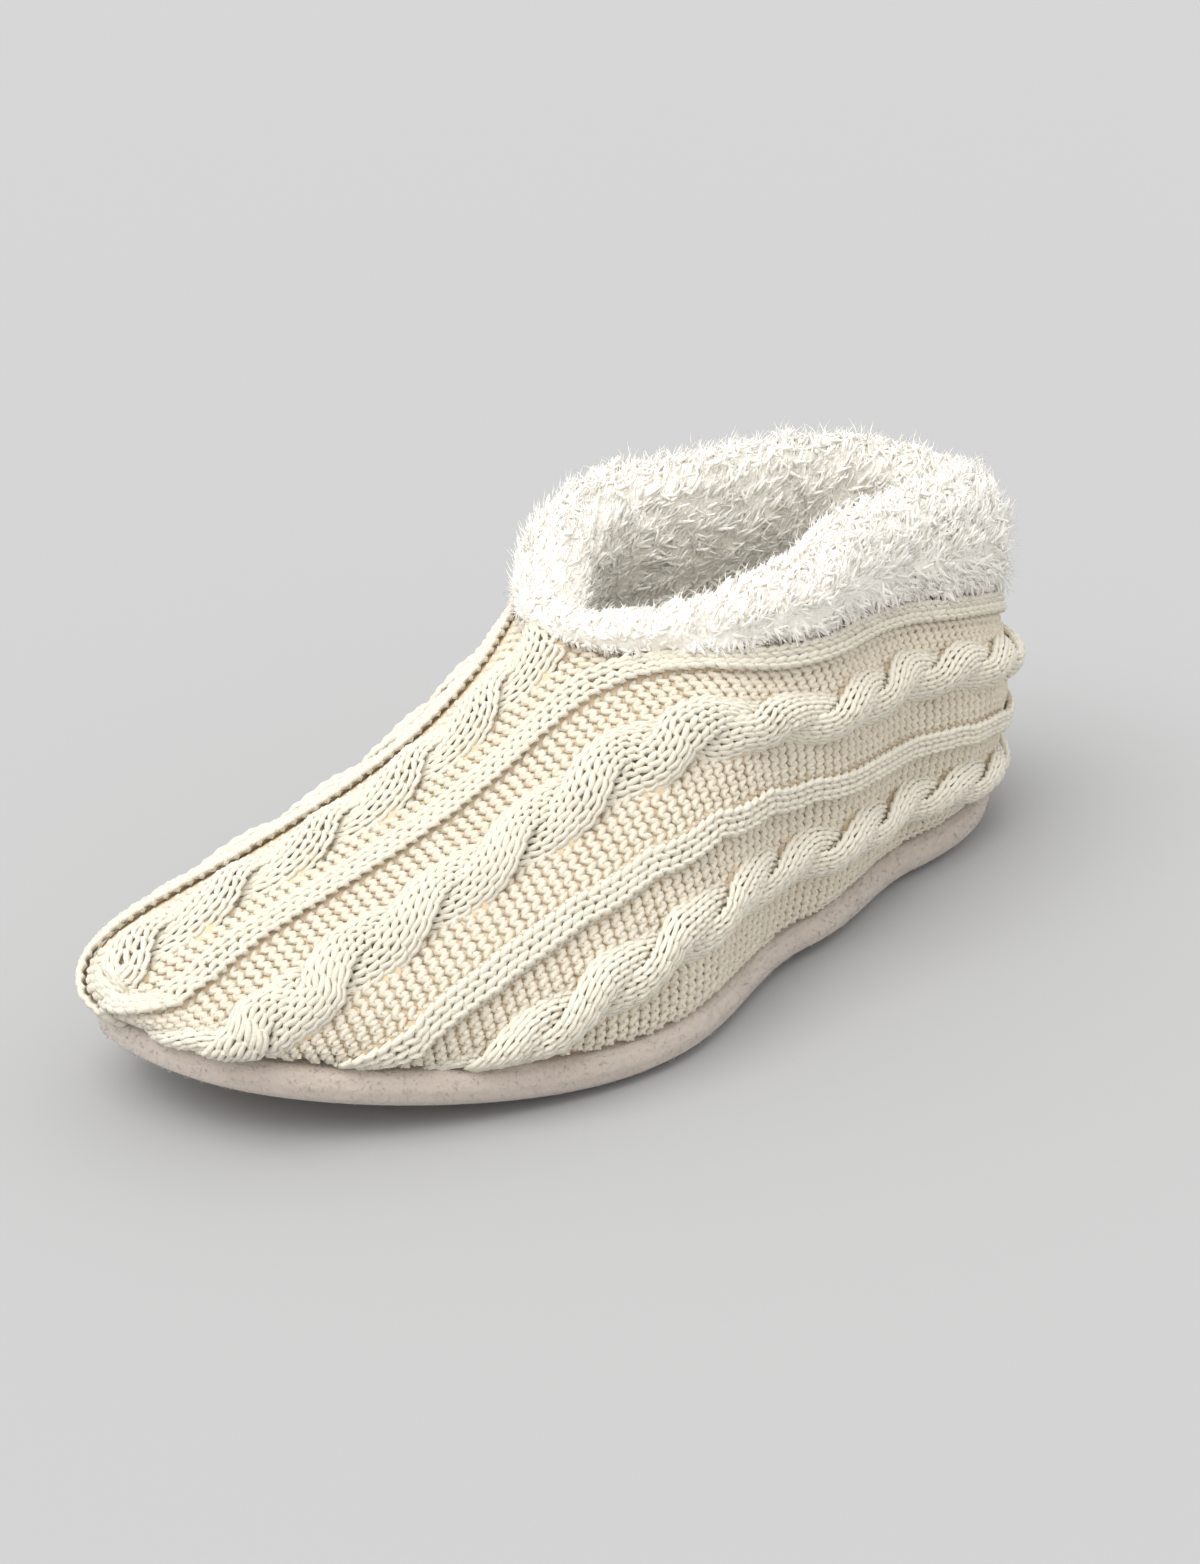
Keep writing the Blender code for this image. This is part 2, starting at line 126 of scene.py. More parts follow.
def ridge_height(s):
    toe = SEAM_HEIGHT + TOE_SPRING
    from_box = np.clip(1 - s / TOE_BOX_LENGTH, 0, 1) ** TOE_BOX_ROUNDNESS
    dome = (1 - from_box) ** (1 / TOE_BOX_ROUNDNESS)
    box = TOE_FRONT_HEIGHT + (TOE_BOX_HEIGHT - TOE_FRONT_HEIGHT) * dome
    rise = THROAT_HEIGHT - toe - TOE_BOX_HEIGHT
    return toe + box + rise * (s / THROAT_AT) ** INSTEP_POWER


def collar_share(s):
    return np.clip((s - THROAT_AT) / (LENGTH - THROAT_AT), 0, 1)


def collar_height(s):
    t = collar_share(s)
    fall = COLLAR_HEEL_HEIGHT - THROAT_HEIGHT
    return THROAT_HEIGHT + fall * t + COLLAR_ARCH * 4 * t * (1 - t)


def top_angle(s):
    seam = SEAM_HEIGHT + lift(s)
    rise = (collar_height(s) - seam) / np.maximum(ridge_height(s) - seam, 1e-9)
    return np.where(s <= THROAT_AT, RIGHT_ANGLE, np.arcsin(np.clip(rise, 0, 1)))


def outward(s, side):
    step = 0.0005
    a, b = np.maximum(s - step, 0), np.minimum(s + step, LENGTH)
    slope = (half_width(b, side) - half_width(a, side)) / (b - a)
    size = np.hypot(1, slope)
    return side / size, -slope / size


def skin(s, v, side):
    """Points on the outside of the plain wall; v is 0 at the sole seam and 1 at the top."""
    seam = SEAM_HEIGHT + lift(s) + GAP
    top = top_angle(s)
    angle = v * top
    upright = ease((s - UPRIGHT_FROM) / UPRIGHT_RUN)
    power = SECTION_TAPER + (UPRIGHT_POWER - SECTION_TAPER) * upright
    x = half_width(s, side) * np.maximum(np.cos(angle), 0) ** power
    z = seam + (ridge_height(s) - SEAM_HEIGHT - lift(s)) * np.sin(angle)
    out_x, out_y = outward(s, side)
    flank = RIGHT_ANGLE + (top - RIGHT_ANGLE) * ease((s - THROAT_AT) / BULGE_CHANGE)
    bulge = BULGE * np.maximum(np.sin(np.pi * np.minimum(angle / flank, 1)), 0) ** BULGE_POWER
    y = s - ORIGIN_AT + out_y * bulge
    return np.stack([side * x + centre(s) + out_x * bulge, y, z], axis=-1)


print("widest", np.round(1000 * (half_width(BALL_AT, 1) + half_width(BALL_AT, -1)), 1), "mm")

# %% [markdown]
# ## A map of the knit
# A knitter sees the slipper as wales, which run from toe to heel, and courses, which
# cross them. A map with those two directions as its axes makes the knitting easy: the
# wale coordinate is the distance from the middle of the instep panel, and the course
# coordinate is the distance along the wale from the throat. The map keeps, for a grid of
# such pairs, the place and the outward direction, and reads between them.

# %% Build the map
STATIONS = LENGTH * (1 - np.cos(np.pi * np.linspace(0, 1, 301))) / 2
HEIGHTS = np.linspace(0, 1, 61)
WALE_STEP, WALE_MAX = 0.001, 0.102
COURSE_STEP, COURSE_MIN, COURSE_MAX = 0.001, -0.160, 0.175
WALES = np.arange(0, WALE_MAX + WALE_STEP / 2, WALE_STEP)
COURSES = np.arange(COURSE_MIN, COURSE_MAX + COURSE_STEP / 2, COURSE_STEP)


def half_map(side):
    """Places, length above the seam and length below the top line for one half."""
    s = STATIONS[:, None]
    grid = skin(s, HEIGHTS[None, :], side)
    steps = np.linalg.norm(np.diff(grid, axis=1), axis=2)
    arcs = np.concatenate([np.zeros((len(s), 1)), np.cumsum(steps, axis=1)], axis=1)
    top = arcs[:, -1]
    edge = np.abs(grid[:, -1, 0] - centre(STATIONS))
    behind = STATIONS > THROAT_AT
    width = np.where(behind, 1 + (HEEL_DRAW_IN - 1) * collar_share(STATIONS), 1)
    slit = SLIT_WALE - side * RIDGE_WALE
    ridge = top + np.where(behind, slit * np.tanh(edge / slit) * width, 0)
    arc = np.zeros((len(STATIONS), len(WALES)))
    spread = np.minimum(LAY_FROM + LAY_EASE * WALES, LAY_REACH)
    halfway = len(EASE_WEIGHTS) // 2
    for k, weight in enumerate(EASE_WEIGHTS):
        at = s + spread * (k - halfway) / halfway
        reach = np.interp(at, STATIONS, ridge) - WALES * np.interp(at, STATIONS, width)
        arc += weight * reach / sum(EASE_WEIGHTS)
    places = np.empty(arc.shape + (3,))
    for i in range(len(STATIONS)):
        v = np.interp(arc[i], arcs[i], HEIGHTS)
        places[i] = skin(STATIONS[i], v, side)
        rise = (grid[i, 1] - grid[i, 0]) / max(steps[i, 0], 1e-6)
        places[i] += np.minimum(arc[i], 0)[:, None] * rise
        rise = (grid[i, -1] - grid[i, -2]) / max(steps[i, -1], 1e-6)
        places[i] += np.maximum(arc[i] - top[i], 0)[:, None] * rise
    below = top[:, None] - arc
    hops = np.linalg.norm(np.diff(places, axis=0), axis=2)
    along = np.concatenate([np.zeros((1, len(WALES))), np.cumsum(hops, axis=0)])
    table = np.empty((len(COURSES), len(WALES), 6))
    for j in range(len(WALES)):
        course = along[:, j] - np.interp(THROAT_AT, STATIONS, along[:, j])
        wanted = [*places[:, j].T, arc[:, j], below[:, j], STATIONS]
        for n, values in enumerate(wanted):
            table[:, j, n] = np.interp(COURSES, course, values)
        table[:, j, 5] += np.minimum(COURSES - course[0], 0)
        table[:, j, 5] += np.maximum(COURSES - course[-1], 0)
    return table


outer_half, inner_half = half_map(1), half_map(-1)
KNIT_MAP = np.concatenate([inner_half[:, :0:-1], outer_half], axis=1)
PLACES = KNIT_MAP[..., :3]
along_course = np.gradient(PLACES, axis=0)
along_wale = np.gradient(PLACES, axis=1)
OUTWARDS = unit(np.cross(along_wale, along_course))
FIELDS = np.concatenate([PLACES, OUTWARDS, KNIT_MAP[..., 3:]], axis=2)


def read_map(course, wale):
    """Place, outward direction, length over the seam, under the collar, and station."""
    i = np.clip((course - COURSE_MIN) / COURSE_STEP, 0, len(COURSES) - 1.001)
    j = np.clip((wale - RIDGE_WALE + WALE_MAX) / WALE_STEP, 0, FIELDS.shape[1] - 1.001)
    low_i, low_j = i.astype(int), j.astype(int)
    part_i, part_j = (i - low_i)[..., None], (j - low_j)[..., None]
    near = FIELDS[low_i, low_j] * (1 - part_j) + FIELDS[low_i, low_j + 1] * part_j
    far = FIELDS[low_i + 1, low_j] * (1 - part_j) + FIELDS[low_i + 1, low_j + 1] * part_j
    found = near * (1 - part_i) + far * part_i
    return found[..., :3], found[..., 3:6], found[..., 6], found[..., 7], found[..., 8]


ridge_place, ridge_out, *_ = read_map(np.array([-0.05]), np.array([0.0]))
print("ridge at", np.round(1000 * ridge_place, 1), "faces", np.round(ridge_out, 2))
side_place, side_out, *_ = read_map(np.array([0.05]), np.array([0.05]))
print("outer side at", np.round(1000 * side_place, 1), "faces", np.round(side_out, 2))

# %% [markdown]
# ## One loop of yarn
# Knitting is one shape repeated: a loop that rises out of its course, passes behind the
# feet of the next one and comes down again. On the face side its two legs lie in front
# and draw a V; turned over, its head and feet lie in front and draw a bump. A short
# cylinder cut into rings is the yarn of one loop, and every stitch is a copy of it whose
# rings are set along the loop's path.

# %% Model the yarn of one loop
YARN_SIDES, KNIT_RINGS, PURL_RINGS = 4, 9, 7


def deselect():
    bpy.ops.object.select_all(action="DESELECT")


def yarn_shape(rings):
    """Ring number, place on the ring and faces of a cylinder that is cut into rings."""
    deselect()
    bpy.ops.mesh.primitive_cylinder_add(
        vertices=YARN_SIDES, radius=1, depth=1, end_fill_type="NGON"
    )
    cylinder = bpy.context.object
    bpy.ops.object.mode_set(mode="EDIT")
    for cut in range(1, rings - 1):
        bpy.ops.mesh.select_all(action="SELECT")
        height = cut / (rings - 1) - 0.5
        bpy.ops.mesh.bisect(plane_co=(0, 0, height), plane_no=(0, 0, 1))
    bpy.ops.object.mode_set(mode="OBJECT")
    points = np.array([vert.co for vert in cylinder.data.vertices])
    ring = np.rint((points[:, 2] + 0.5) * (rings - 1)).astype(int)
    faces = [tuple(face.vertices) for face in cylinder.data.polygons]
    bpy.data.objects.remove(cylinder)
    print("yarn with", rings, "rings:", len(ring), "corners,", len(faces), "faces")
    return ring, points[:, :2], faces


YARN_SHAPES = {rings: yarn_shape(rings) for rings in (KNIT_RINGS, PURL_RINGS)}

# %% [markdown]
# ## Stitches on the map
# A stitch is given by its course, its wale, how far it stands over the wall and which way
# it is turned. Cables need more: each of their strands wanders across the band, rises
# over the other one and rolls, so its loops follow that path.

# %% Path of a loop and of a cable strand
COURSE = 0.00294
YARN_RADIUS, RIB_RADIUS, PURL_RADIUS = 0.00074, 0.00084, 0.00092
LOOP_REACH, LOOP_DEPTH, LOOP_WAIST = 0.62, 0.00034, 0.23
PURL_WAVE = 0.30
CABLE_REPEAT = 8 * COURSE
STRAND_SWING, STRAND_SNAP = 0.0037, 1.1
STRAND_ROUND, STRAND_TILT = 0.0056, math.radians(22)
STRAND_LOW, STRAND_RISE, STRAND_DIVE = 0.0007, 0.0032, 1.4
CABLE_WALE = 0.0024
STRAND_PLACES = (-1.5, -0.5, 0.5, 1.5)
SEAM_TUCK, SEAM_FROM, SEAM_REACH, SEAM_FLATTEN = 0.0018, 0.0010, 0.0070, 0.75
SEAM_EDGE = 0.000006
ROW_START, ROW_LOWEST, ROW_END = 0.0002, -0.0025, -0.0012

turn = np.linspace(0, 2 * np.pi, KNIT_RINGS)
purl_turn = np.linspace(0, 2 * np.pi, PURL_RINGS)
LOOP_PLAIN = (turn - np.pi) / (2 * np.pi)
LOOP_ACROSS = LOOP_PLAIN + LOOP_WAIST * np.sin(2 * turn)
LOOP_ALONG = -LOOP_REACH * np.cos(turn)
LOOP_OUT = -np.cos(2 * turn)


def strand(course, other):
    """Sideways place, height, slope and roll of one cable strand along the courses."""
    phase = np.pi * (course / CABLE_REPEAT + other)
    swing = np.tanh(STRAND_SNAP * np.sin(phase)) / np.tanh(STRAND_SNAP)
    steep = STRAND_SNAP * np.cos(phase) / np.cosh(STRAND_SNAP * np.sin(phase)) ** 2
    slope = -STRAND_SWING * np.pi / CABLE_REPEAT * steep / np.tanh(STRAND_SNAP)
    height = STRAND_LOW + STRAND_RISE * (0.5 + 0.5 * np.cos(phase)) ** STRAND_DIVE
    return -STRAND_SWING * swing, height, slope, -STRAND_TILT * swing


def knit_loops(course, wale, height, width):
    """Paths of face stitches: arrays of map coordinates, one row for each stitch."""
    course = course[:, None] + LOOP_ALONG * COURSE
    wale = wale[:, None] + LOOP_ACROSS * width
    return course, wale, height[:, None] + LOOP_OUT * LOOP_DEPTH


def purl_loops(course, wale, height, width):
    """Paths of purl stitches: heads and feet meet in one wave that crosses the wales."""
    course = course[:, None] + PURL_WAVE * np.cos(purl_turn) * COURSE
    wale = wale[:, None] + (purl_turn - np.pi) / (2 * np.pi) * width
    return course, wale, height[:, None] + 0 * purl_turn


def strand_loops(course, middle, mirror, other, place, height):
    """Paths of the stitches of one cable strand; place counts wales from its middle."""
    at = course[:, None] + LOOP_ALONG * COURSE
    sideways, rise, slope, roll = strand(at, other)
    across = (place[:, None] + LOOP_ACROSS) * CABLE_WALE
    lean = roll + across / STRAND_ROUND
    shift = STRAND_ROUND * (np.sin(lean) - np.sin(roll))
    drop = STRAND_ROUND * (np.cos(lean) - np.cos(roll))
    shift += np.sin(lean) * LOOP_OUT * LOOP_DEPTH
    out = height + rise + drop + np.cos(lean) * LOOP_OUT * LOOP_DEPTH
    turned = np.arctan(slope)
    wale = mirror * (middle + sideways + shift * np.cos(turned))
    return at - shift * np.sin(turned), wale, out


print("one cable crossing every", round(1000 * CABLE_REPEAT, 1), "mm")

# %% [markdown]
# ## Yarn along the paths
# Thousands of loops as separate objects would be slow, and an array modifier repeats only
# in a straight line. So the corners of one loop of yarn are computed for all paths at
# once, and the copies are written into one mesh. Near the sole the stitches flatten and
# tuck in, as they do where a knit is sewn to its sole.


def seam_share(over_seam):
    """1 at the seam of the sole, falling to 0 above it."""
    return 1 - ease((over_seam + SEAM_FROM) / SEAM_REACH)


def yarn_mesh(name, paths, radius, finish):
    """Joins the yarn of many stitches into one mesh; stitches off the wall are left out."""
    course, wale, out = (np.concatenate(part) for part in zip(*paths))
    place, outwards, over_seam, under_collar, station = read_map(course, wale)
    middle = course.shape[1] // 2
    kept = (over_seam[:, middle] > ROW_START) & (over_seam.min(axis=1) > ROW_LOWEST)
    kept &= under_collar[:, middle] > ROW_END
    kept &= (station[:, middle] > SEAM_EDGE) & (station[:, middle] < LENGTH - SEAM_EDGE)
    place, outwards, out = place[kept], outwards[kept], out[kept]
    near_seam = seam_share(over_seam[kept])
    out = out * (1 - SEAM_FLATTEN * near_seam) - SEAM_TUCK * near_seam ** 2
    place = place + outwards * out[..., None]
    return spun(name, place, outwards, radius, finish)


def spun(name, place, outwards, radius, finish):
    """Yarn around given paths; every path is one copy of the loop of yarn."""
    run = np.gradient(place, axis=1)
    run /= np.linalg.norm(run, axis=2, keepdims=True)
    left = np.cross(outwards, run)
    left /= np.linalg.norm(left, axis=2, keepdims=True)
    upper = np.cross(run, left)
    thick = radius * RANDOM.uniform(0.92, 1.08, (len(place), 1, 1))
    ring, flat, faces = YARN_SHAPES[place.shape[1]]
    across, over = flat[:, 0, None], flat[:, 1, None]
    points = place[:, ring] + thick * (left[:, ring] * across + upper[:, ring] * over)
    return joined(name, points, faces, finish)


def joined(name, points, faces, finish):
    """One mesh object from many copies of the same few faces."""
    copies, corners = points.shape[:2]
    mesh = bpy.data.meshes.new(name)
    sizes = np.array([len(face) for face in faces])
    order = np.concatenate(faces)
    starts = np.concatenate([[0], np.cumsum(np.tile(sizes, copies))[:-1]])
    mesh.vertices.add(copies * corners)
    mesh.vertices.foreach_set("co", points.reshape(-1).astype(np.float32))
    mesh.loops.add(copies * len(order))
    index = (np.arange(copies)[:, None] * corners + order).reshape(-1)
    mesh.loops.foreach_set("vertex_index", index.astype(np.int32))
    mesh.polygons.add(copies * len(faces))
    mesh.polygons.foreach_set("loop_start", starts.astype(np.int32))
    mesh.update(calc_edges=True)
    mesh.validate()
    mesh.shade_smooth()
    mesh.materials.append(finish)
    piece = bpy.data.objects.new(name, mesh)
    bpy.context.scene.collection.objects.link(piece)
    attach(piece, "root")
    triangles = copies * int((sizes - 2).sum())
    print(name, copies, "copies,", triangles, "triangles")
    return piece


# %% [markdown]
# ## Materials
# Shader maths reads best as maths, so a small class wraps a socket and lets expressions
# build the nodes. Every colour in it is linear.

# %% Shader helper
class Wire:
    """A socket that takes part in expressions."""

    def __init__(self, tree, socket):
        self.tree, self.socket = tree, socket

    def maths(self, operation, other):
        node = self.tree.nodes.new("ShaderNodeMath")
        node.operation = operation
        for socket, value in zip(node.inputs, (self, other)):
            put(self.tree, socket, value)
        return Wire(self.tree, node.outputs[0])

    def __add__(self, other):
        return self.maths("ADD", other)

    def __mul__(self, other):
        return self.maths("MULTIPLY", other)

    __radd__, __rmul__ = __add__, __mul__


def put(tree, socket, value):
    """Links a wire to a socket, or sets a plain value or colour on it."""
    if isinstance(value, Wire):
        tree.links.new(value.socket, socket)
    elif isinstance(value, tuple):
        socket.default_value = (*value, 1)
    else:
        socket.default_value = value


class Finish:
    """A new material with its shader and one method for all other nodes."""

    def __init__(self, name, **constants):
        self.material = bpy.data.materials.new(name)
        self.material.use_nodes = True
        self.tree = self.material.node_tree
        self.shader = self.tree.nodes["Principled BSDF"]
        for socket, value in constants.items():
            self.set(socket.replace("_", " "), value)

    def set(self, socket, value):
        put(self.tree, self.shader.inputs[socket], value)

    def node(self, kind, inputs, output=0, **settings):
        """Adds a node; inputs are keyed by name, or by number where names repeat."""
        made = self.tree.nodes.new("ShaderNode" + kind)
        for key, value in settings.items():
            setattr(made, key, value)
        for key, value in inputs.items():
            put(self.tree, made.inputs[key], value)
        return Wire(self.tree, made.outputs[output])

    def noise(self, scale, detail=2.0, roughness=0.5):
        place = self.node("TexCoord", {}, output=3)
        inputs = {"Vector": place, "Scale": scale, "Detail": detail, "Roughness": roughness}
        return self.node("TexNoise", inputs)

    def blend(self, share, first, second):
        """Colour mix; share may be a wire."""
        return self.node("Mix", {0: share, 6: first, 7: second}, output=2, data_type="RGBA")

    def bump(self, height, distance):
        self.set("Normal", self.node("Bump", {"Height": height, "Distance": distance}))


def mottled(name, scale, shades, grain=None, **constants):
    """A material that drifts between two shades; grain is (scale, detail, height)."""
    made = Finish(name, **constants)
    made.set("Base Color", made.blend(made.noise(scale), *shades))
    if grain:
        grain_scale, detail, relief = grain
        made.bump(made.noise(grain_scale, detail), relief)
    print("finish:", name)
    return made.material


# %% [markdown]
# ## Two finishes for one yarn
# Cream yarn is matt, with a haze of short hairs that sheen stands for and a fine
# unevenness that bump gives. In the gutters the light reaches it after several bounces
# off warm yarn. A renderer traces that only in part, so the yarn there is a little
# warmer and darker.

# %% Finish the yarn
YARN_MOTTLE, YARN_GRAIN = 180.0, (1500.0, 3.0, 0.0003)
YARN_SHADES = ((0.75, 0.69, 0.565), (0.80, 0.755, 0.65))
LOW_YARN_SHADES = ((0.74, 0.665, 0.53), (0.80, 0.735, 0.615))
YARN = mottled("cream yarn", YARN_MOTTLE, YARN_SHADES, YARN_GRAIN,
               Roughness=0.85, Sheen_Weight=0.25)
LOW_YARN = mottled("cream yarn of the gutters", YARN_MOTTLE, LOW_YARN_SHADES, YARN_GRAIN,
                   Roughness=0.9, Sheen_Weight=0.15)

# %% [markdown]
# ## Knitting the wall
# From the middle of the instep outwards the slipper has a cable, a narrow purl gutter, a
# raised rib, purl, the large side cable, purl, a second rib, purl, and a third cable
# that runs just over the sole. A table of the plain bands and a list of cable middles
# hold that chart, and the same functions knit both halves.

# %% Knit the ribs and the purl ground
PLAIN_BANDS = (
    # (kind, from, to, wales, height over the wall)
    ("purl", 0.0040, 0.0130, 4, -0.0008),
    ("rib", 0.0127, 0.0183, 2, 0.0013),
    ("purl", 0.0180, 0.0290, 5, -0.0008),
    ("purl", 0.0356, 0.0488, 6, -0.0008),
    ("rib", 0.0484, 0.0544, 2, 0.0013),
    ("purl", 0.0540, 0.0650, 5, -0.0008),
    ("purl", 0.0720, 0.0942, 10, -0.0008),
)
CABLES = (0.0, 0.0323, 0.0685)
ROWS_BEFORE_THROAT, ROWS_BEHIND_THROAT = 54, 60
ROW_STRAY, STITCH_STRAY = 0.00008, 0.00006
ROWS = np.arange(-ROWS_BEFORE_THROAT, ROWS_BEHIND_THROAT) * COURSE


def plain_wales(kind, mirror):
    paths = []
    for band, start, end, wales, height in PLAIN_BANDS:
        if band != kind:
            continue
        pitch = (end - start) / wales
        for k in range(wales):
            rows = ROWS + RANDOM.normal(0, ROW_STRAY, len(ROWS))
            middle = mirror * (start + (k + 0.5) * pitch)
            wale = middle + RANDOM.normal(0, STITCH_STRAY, len(ROWS))
            out = height + RANDOM.normal(0, STITCH_STRAY, len(ROWS))
            stitch = knit_loops if kind == "rib" else purl_loops
            paths.append(stitch(rows, wale, out, pitch))
    return paths


yarn_mesh("knit_ribs", plain_wales("rib", 1) + plain_wales("rib", -1), RIB_RADIUS, YARN)
for label, mirror in (("outer", 1), ("inner", -1)):
    yarn_mesh(f"knit_purl_{label}", plain_wales("purl", mirror), PURL_RADIUS, LOW_YARN)

# %% [markdown]
# ## Knitting the cables
# A cable is two strands of face stitches that change places every few courses; the
# knitter holds one strand on a spare needle meanwhile. A finished braid could be bent
# onto the wall with a curve modifier, but that stretches its stitches. Here every wale
# of a strand follows the strand's own path, and the stitches keep their size.

# %% Knit the cables
def cable(middle, mirror):
    paths = []
    for other in (0, 1):
        for place in STRAND_PLACES:
            rows = ROWS + RANDOM.normal(0, ROW_STRAY, len(ROWS))
            height = RANDOM.normal(0, STITCH_STRAY, (len(ROWS), 1))
            wale = np.full(len(ROWS), place)
            paths.append(strand_loops(rows, middle, mirror, other, wale, height))
    return paths


yarn_mesh("knit_cable_middle", cable(CABLES[0], 1), YARN_RADIUS, YARN)
for label, mirror in (("outer", 1), ("inner", -1)):
    paths = cable(CABLES[1], mirror) + cable(CABLES[2], mirror)
    yarn_mesh(f"knit_cables_{label}", paths, YARN_RADIUS, YARN)

# %% [markdown]
# ## Closing the knit
# The wales of both halves run out at the heel and at the toe. There the knit is joined,
# and a column of larger stitches covers the join, as a crocheted seam does. A cord lies
# under the column, so that no light passes between its loops.

# %% Close the knit at heel and toe
SEAM_LEVELS, SEAM_CHAIN, SEAM_RISE = 200, 0.0048, 0.0009
CORD_SCALE = 1.6
SEAM_PARTS = (
    # (part, courses along, sideways, out of the wall, radius)
    ("chain", LOOP_ALONG, LOOP_ACROSS * SEAM_CHAIN, LOOP_OUT * LOOP_DEPTH, RIB_RADIUS),
    ("cord", 2 * LOOP_PLAIN, 0 * turn, 0 * turn - CORD_SCALE * SEAM_RISE,
     CORD_SCALE * RIB_RADIUS),
)


def read_line(at, length, values):
    """Values along a line, read at the given lengths."""
    return np.stack([np.interp(at, length, values[:, k]) for k in range(3)], axis=-1)


def closing_seam(name, s, lean):
    """A column of stitches over the line where both halves meet, with a cord under it."""
    level = np.linspace(0, 1, SEAM_LEVELS)
    line = (skin(s, level, 1) + skin(s, level, -1)) / 2
    hops = np.linalg.norm(np.diff(line, axis=0), axis=1)
    length = np.concatenate([[0], np.cumsum(hops)])
    starts = np.linspace(COURSE, length[-1] - COURSE, int(length[-1] / COURSE))
    sideways = np.array([1.0, 0.0, 0.0])
    for part, along, across, deep, radius in SEAM_PARTS:
        at = starts[:, None] + along * COURSE
        slope = unit(read_line(at, length, np.gradient(line, axis=0)))
        out = np.cross(slope, sideways) * lean
        place = read_line(at, length, line) + sideways * across[:, None]
        place += out * (SEAM_RISE + deep)[:, None]
        spun(f"{name}_{part}", place, out, radius, YARN)


closing_seam("heel_seam", LENGTH, -1)
closing_seam("toe_seam", 0.0, 1)

# %% [markdown]
# ## The ground under the yarn
# Knitting is open work, and light would shine through it into the shoe. On the real
# slipper the plush behind the stitches stops it. A solid wall would do the same, but it
# would show as flat cloth between the loops, so a thin skin runs just below the yarn and
# rises under the ribs and cables. Its colour is painted shade: a darker, warmer tan than
# the yarn, so that the gaps between the loops look like yarn in shadow.

# %% Make the ground
GROUND_STEP = 0.0014
PURL_GROUND, RIB_GROUND = -0.0012, -0.0002
BETWEEN_STRANDS, BETWEEN_DEPTH = 0.0034, -0.0006
STRAND_COVER, STRAND_HALF = 0.0010, 0.0033
GROUND_TOP, GROUND_FALL = 0.0030, 0.0045
GROUND_START, GROUND_END = -0.0010, -0.0020
COURSE_MARGIN, WALE_MARGIN = 0.002, 0.001


def ground_height(course, wale):
    height = np.full(np.broadcast(course, wale).shape, PURL_GROUND)
    for kind, start, end, *_ in PLAIN_BANDS:
        if kind == "rib":
            inside = (np.abs(wale) > start) & (np.abs(wale) < end)
            height = np.where(inside, RIB_GROUND, height)
    for middle in CABLES:
        across = (wale if middle == 0 else np.abs(wale)) - middle
        height = np.where(np.abs(across) < BETWEEN_STRANDS, BETWEEN_DEPTH, height)
        for other in (0, 1):
            sideways, rise, _, _ = strand(course, other)
            dome = rise - STRAND_COVER - (across - sideways) ** 2 / (2 * STRAND_ROUND)
            near = np.abs(across - sideways) < STRAND_HALF
            height = np.where(near, np.maximum(height, dome), height)
    return height


def grid_mesh(name, points, kept, finish):
    """A sheet from a grid of points; kept says which cells of the grid are made."""
    rows, columns = points.shape[:2]
    index = np.arange(rows * columns).reshape(rows, columns)
    faces = np.stack([index[:-1, :-1], index[1:, :-1], index[1:, 1:], index[:-1, 1:]], axis=-1)
    faces = faces[kept]
    used, corners = np.unique(faces, return_inverse=True)
    mesh = bpy.data.meshes.new(name)
    mesh.from_pydata(points.reshape(-1, 3)[used], [], corners.reshape(faces.shape))
    mesh.validate()
    mesh.shade_smooth()
    mesh.materials.append(finish)
    piece = bpy.data.objects.new(name, mesh)
    bpy.context.scene.collection.objects.link(piece)
    return piece


courses = np.arange(COURSE_MIN + COURSE_MARGIN, COURSE_MAX - COURSE_MARGIN, GROUND_STEP)
wales = np.arange(-WALE_MAX + WALE_MARGIN, WALE_MAX - WALE_MARGIN, GROUND_STEP)
course_grid, wale_grid = np.broadcast_arrays(courses[:, None], wales[None, :])
place, outwards, over_seam, under_collar, station = read_map(course_grid, wale_grid)
near_seam = seam_share(over_seam)
ceiling = GROUND_TOP - GROUND_FALL * near_seam
height = np.minimum(ground_height(course_grid, wale_grid), ceiling)
points = place + outwards * (height - SEAM_TUCK * near_seam ** 2)[..., None]
inside = (over_seam > GROUND_START) & (under_collar > GROUND_END)
inside &= (station > 0) & (station < LENGTH)
kept = inside[:-1, :-1] | inside[1:, 1:] | inside[1:, :-1] | inside[:-1, 1:]
# Painted shade: the ground is a darker, warmer tan than the yarn. It stands for the shadow and
# bounced light in the gaps between the loops.
PAINTED_SHADE_DEPTH = mottled("painted shade between the loops", 200.0, ((0.70, 0.55, 0.36), (0.76, 0.63, 0.44)),
                Roughness=0.95)
ground = grid_mesh("knit_ground", points, kept, PAINTED_SHADE_DEPTH)
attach(ground, "root")
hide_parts("knit_upper")
print("ground", len(ground.data.polygons), "faces")

# %% [markdown]
# ## The plush cuff
# Long-pile plush is a cloth with a dense coat of fibres that lean on one another in small
# locks. The cloth under the coat keeps the section of the CAD cuff: it foots on the edge
# of the knit, rises, rolls over and goes down inside as a leg. The section is a table of
# named points, rounded by a spline, and it is carried around the collar.

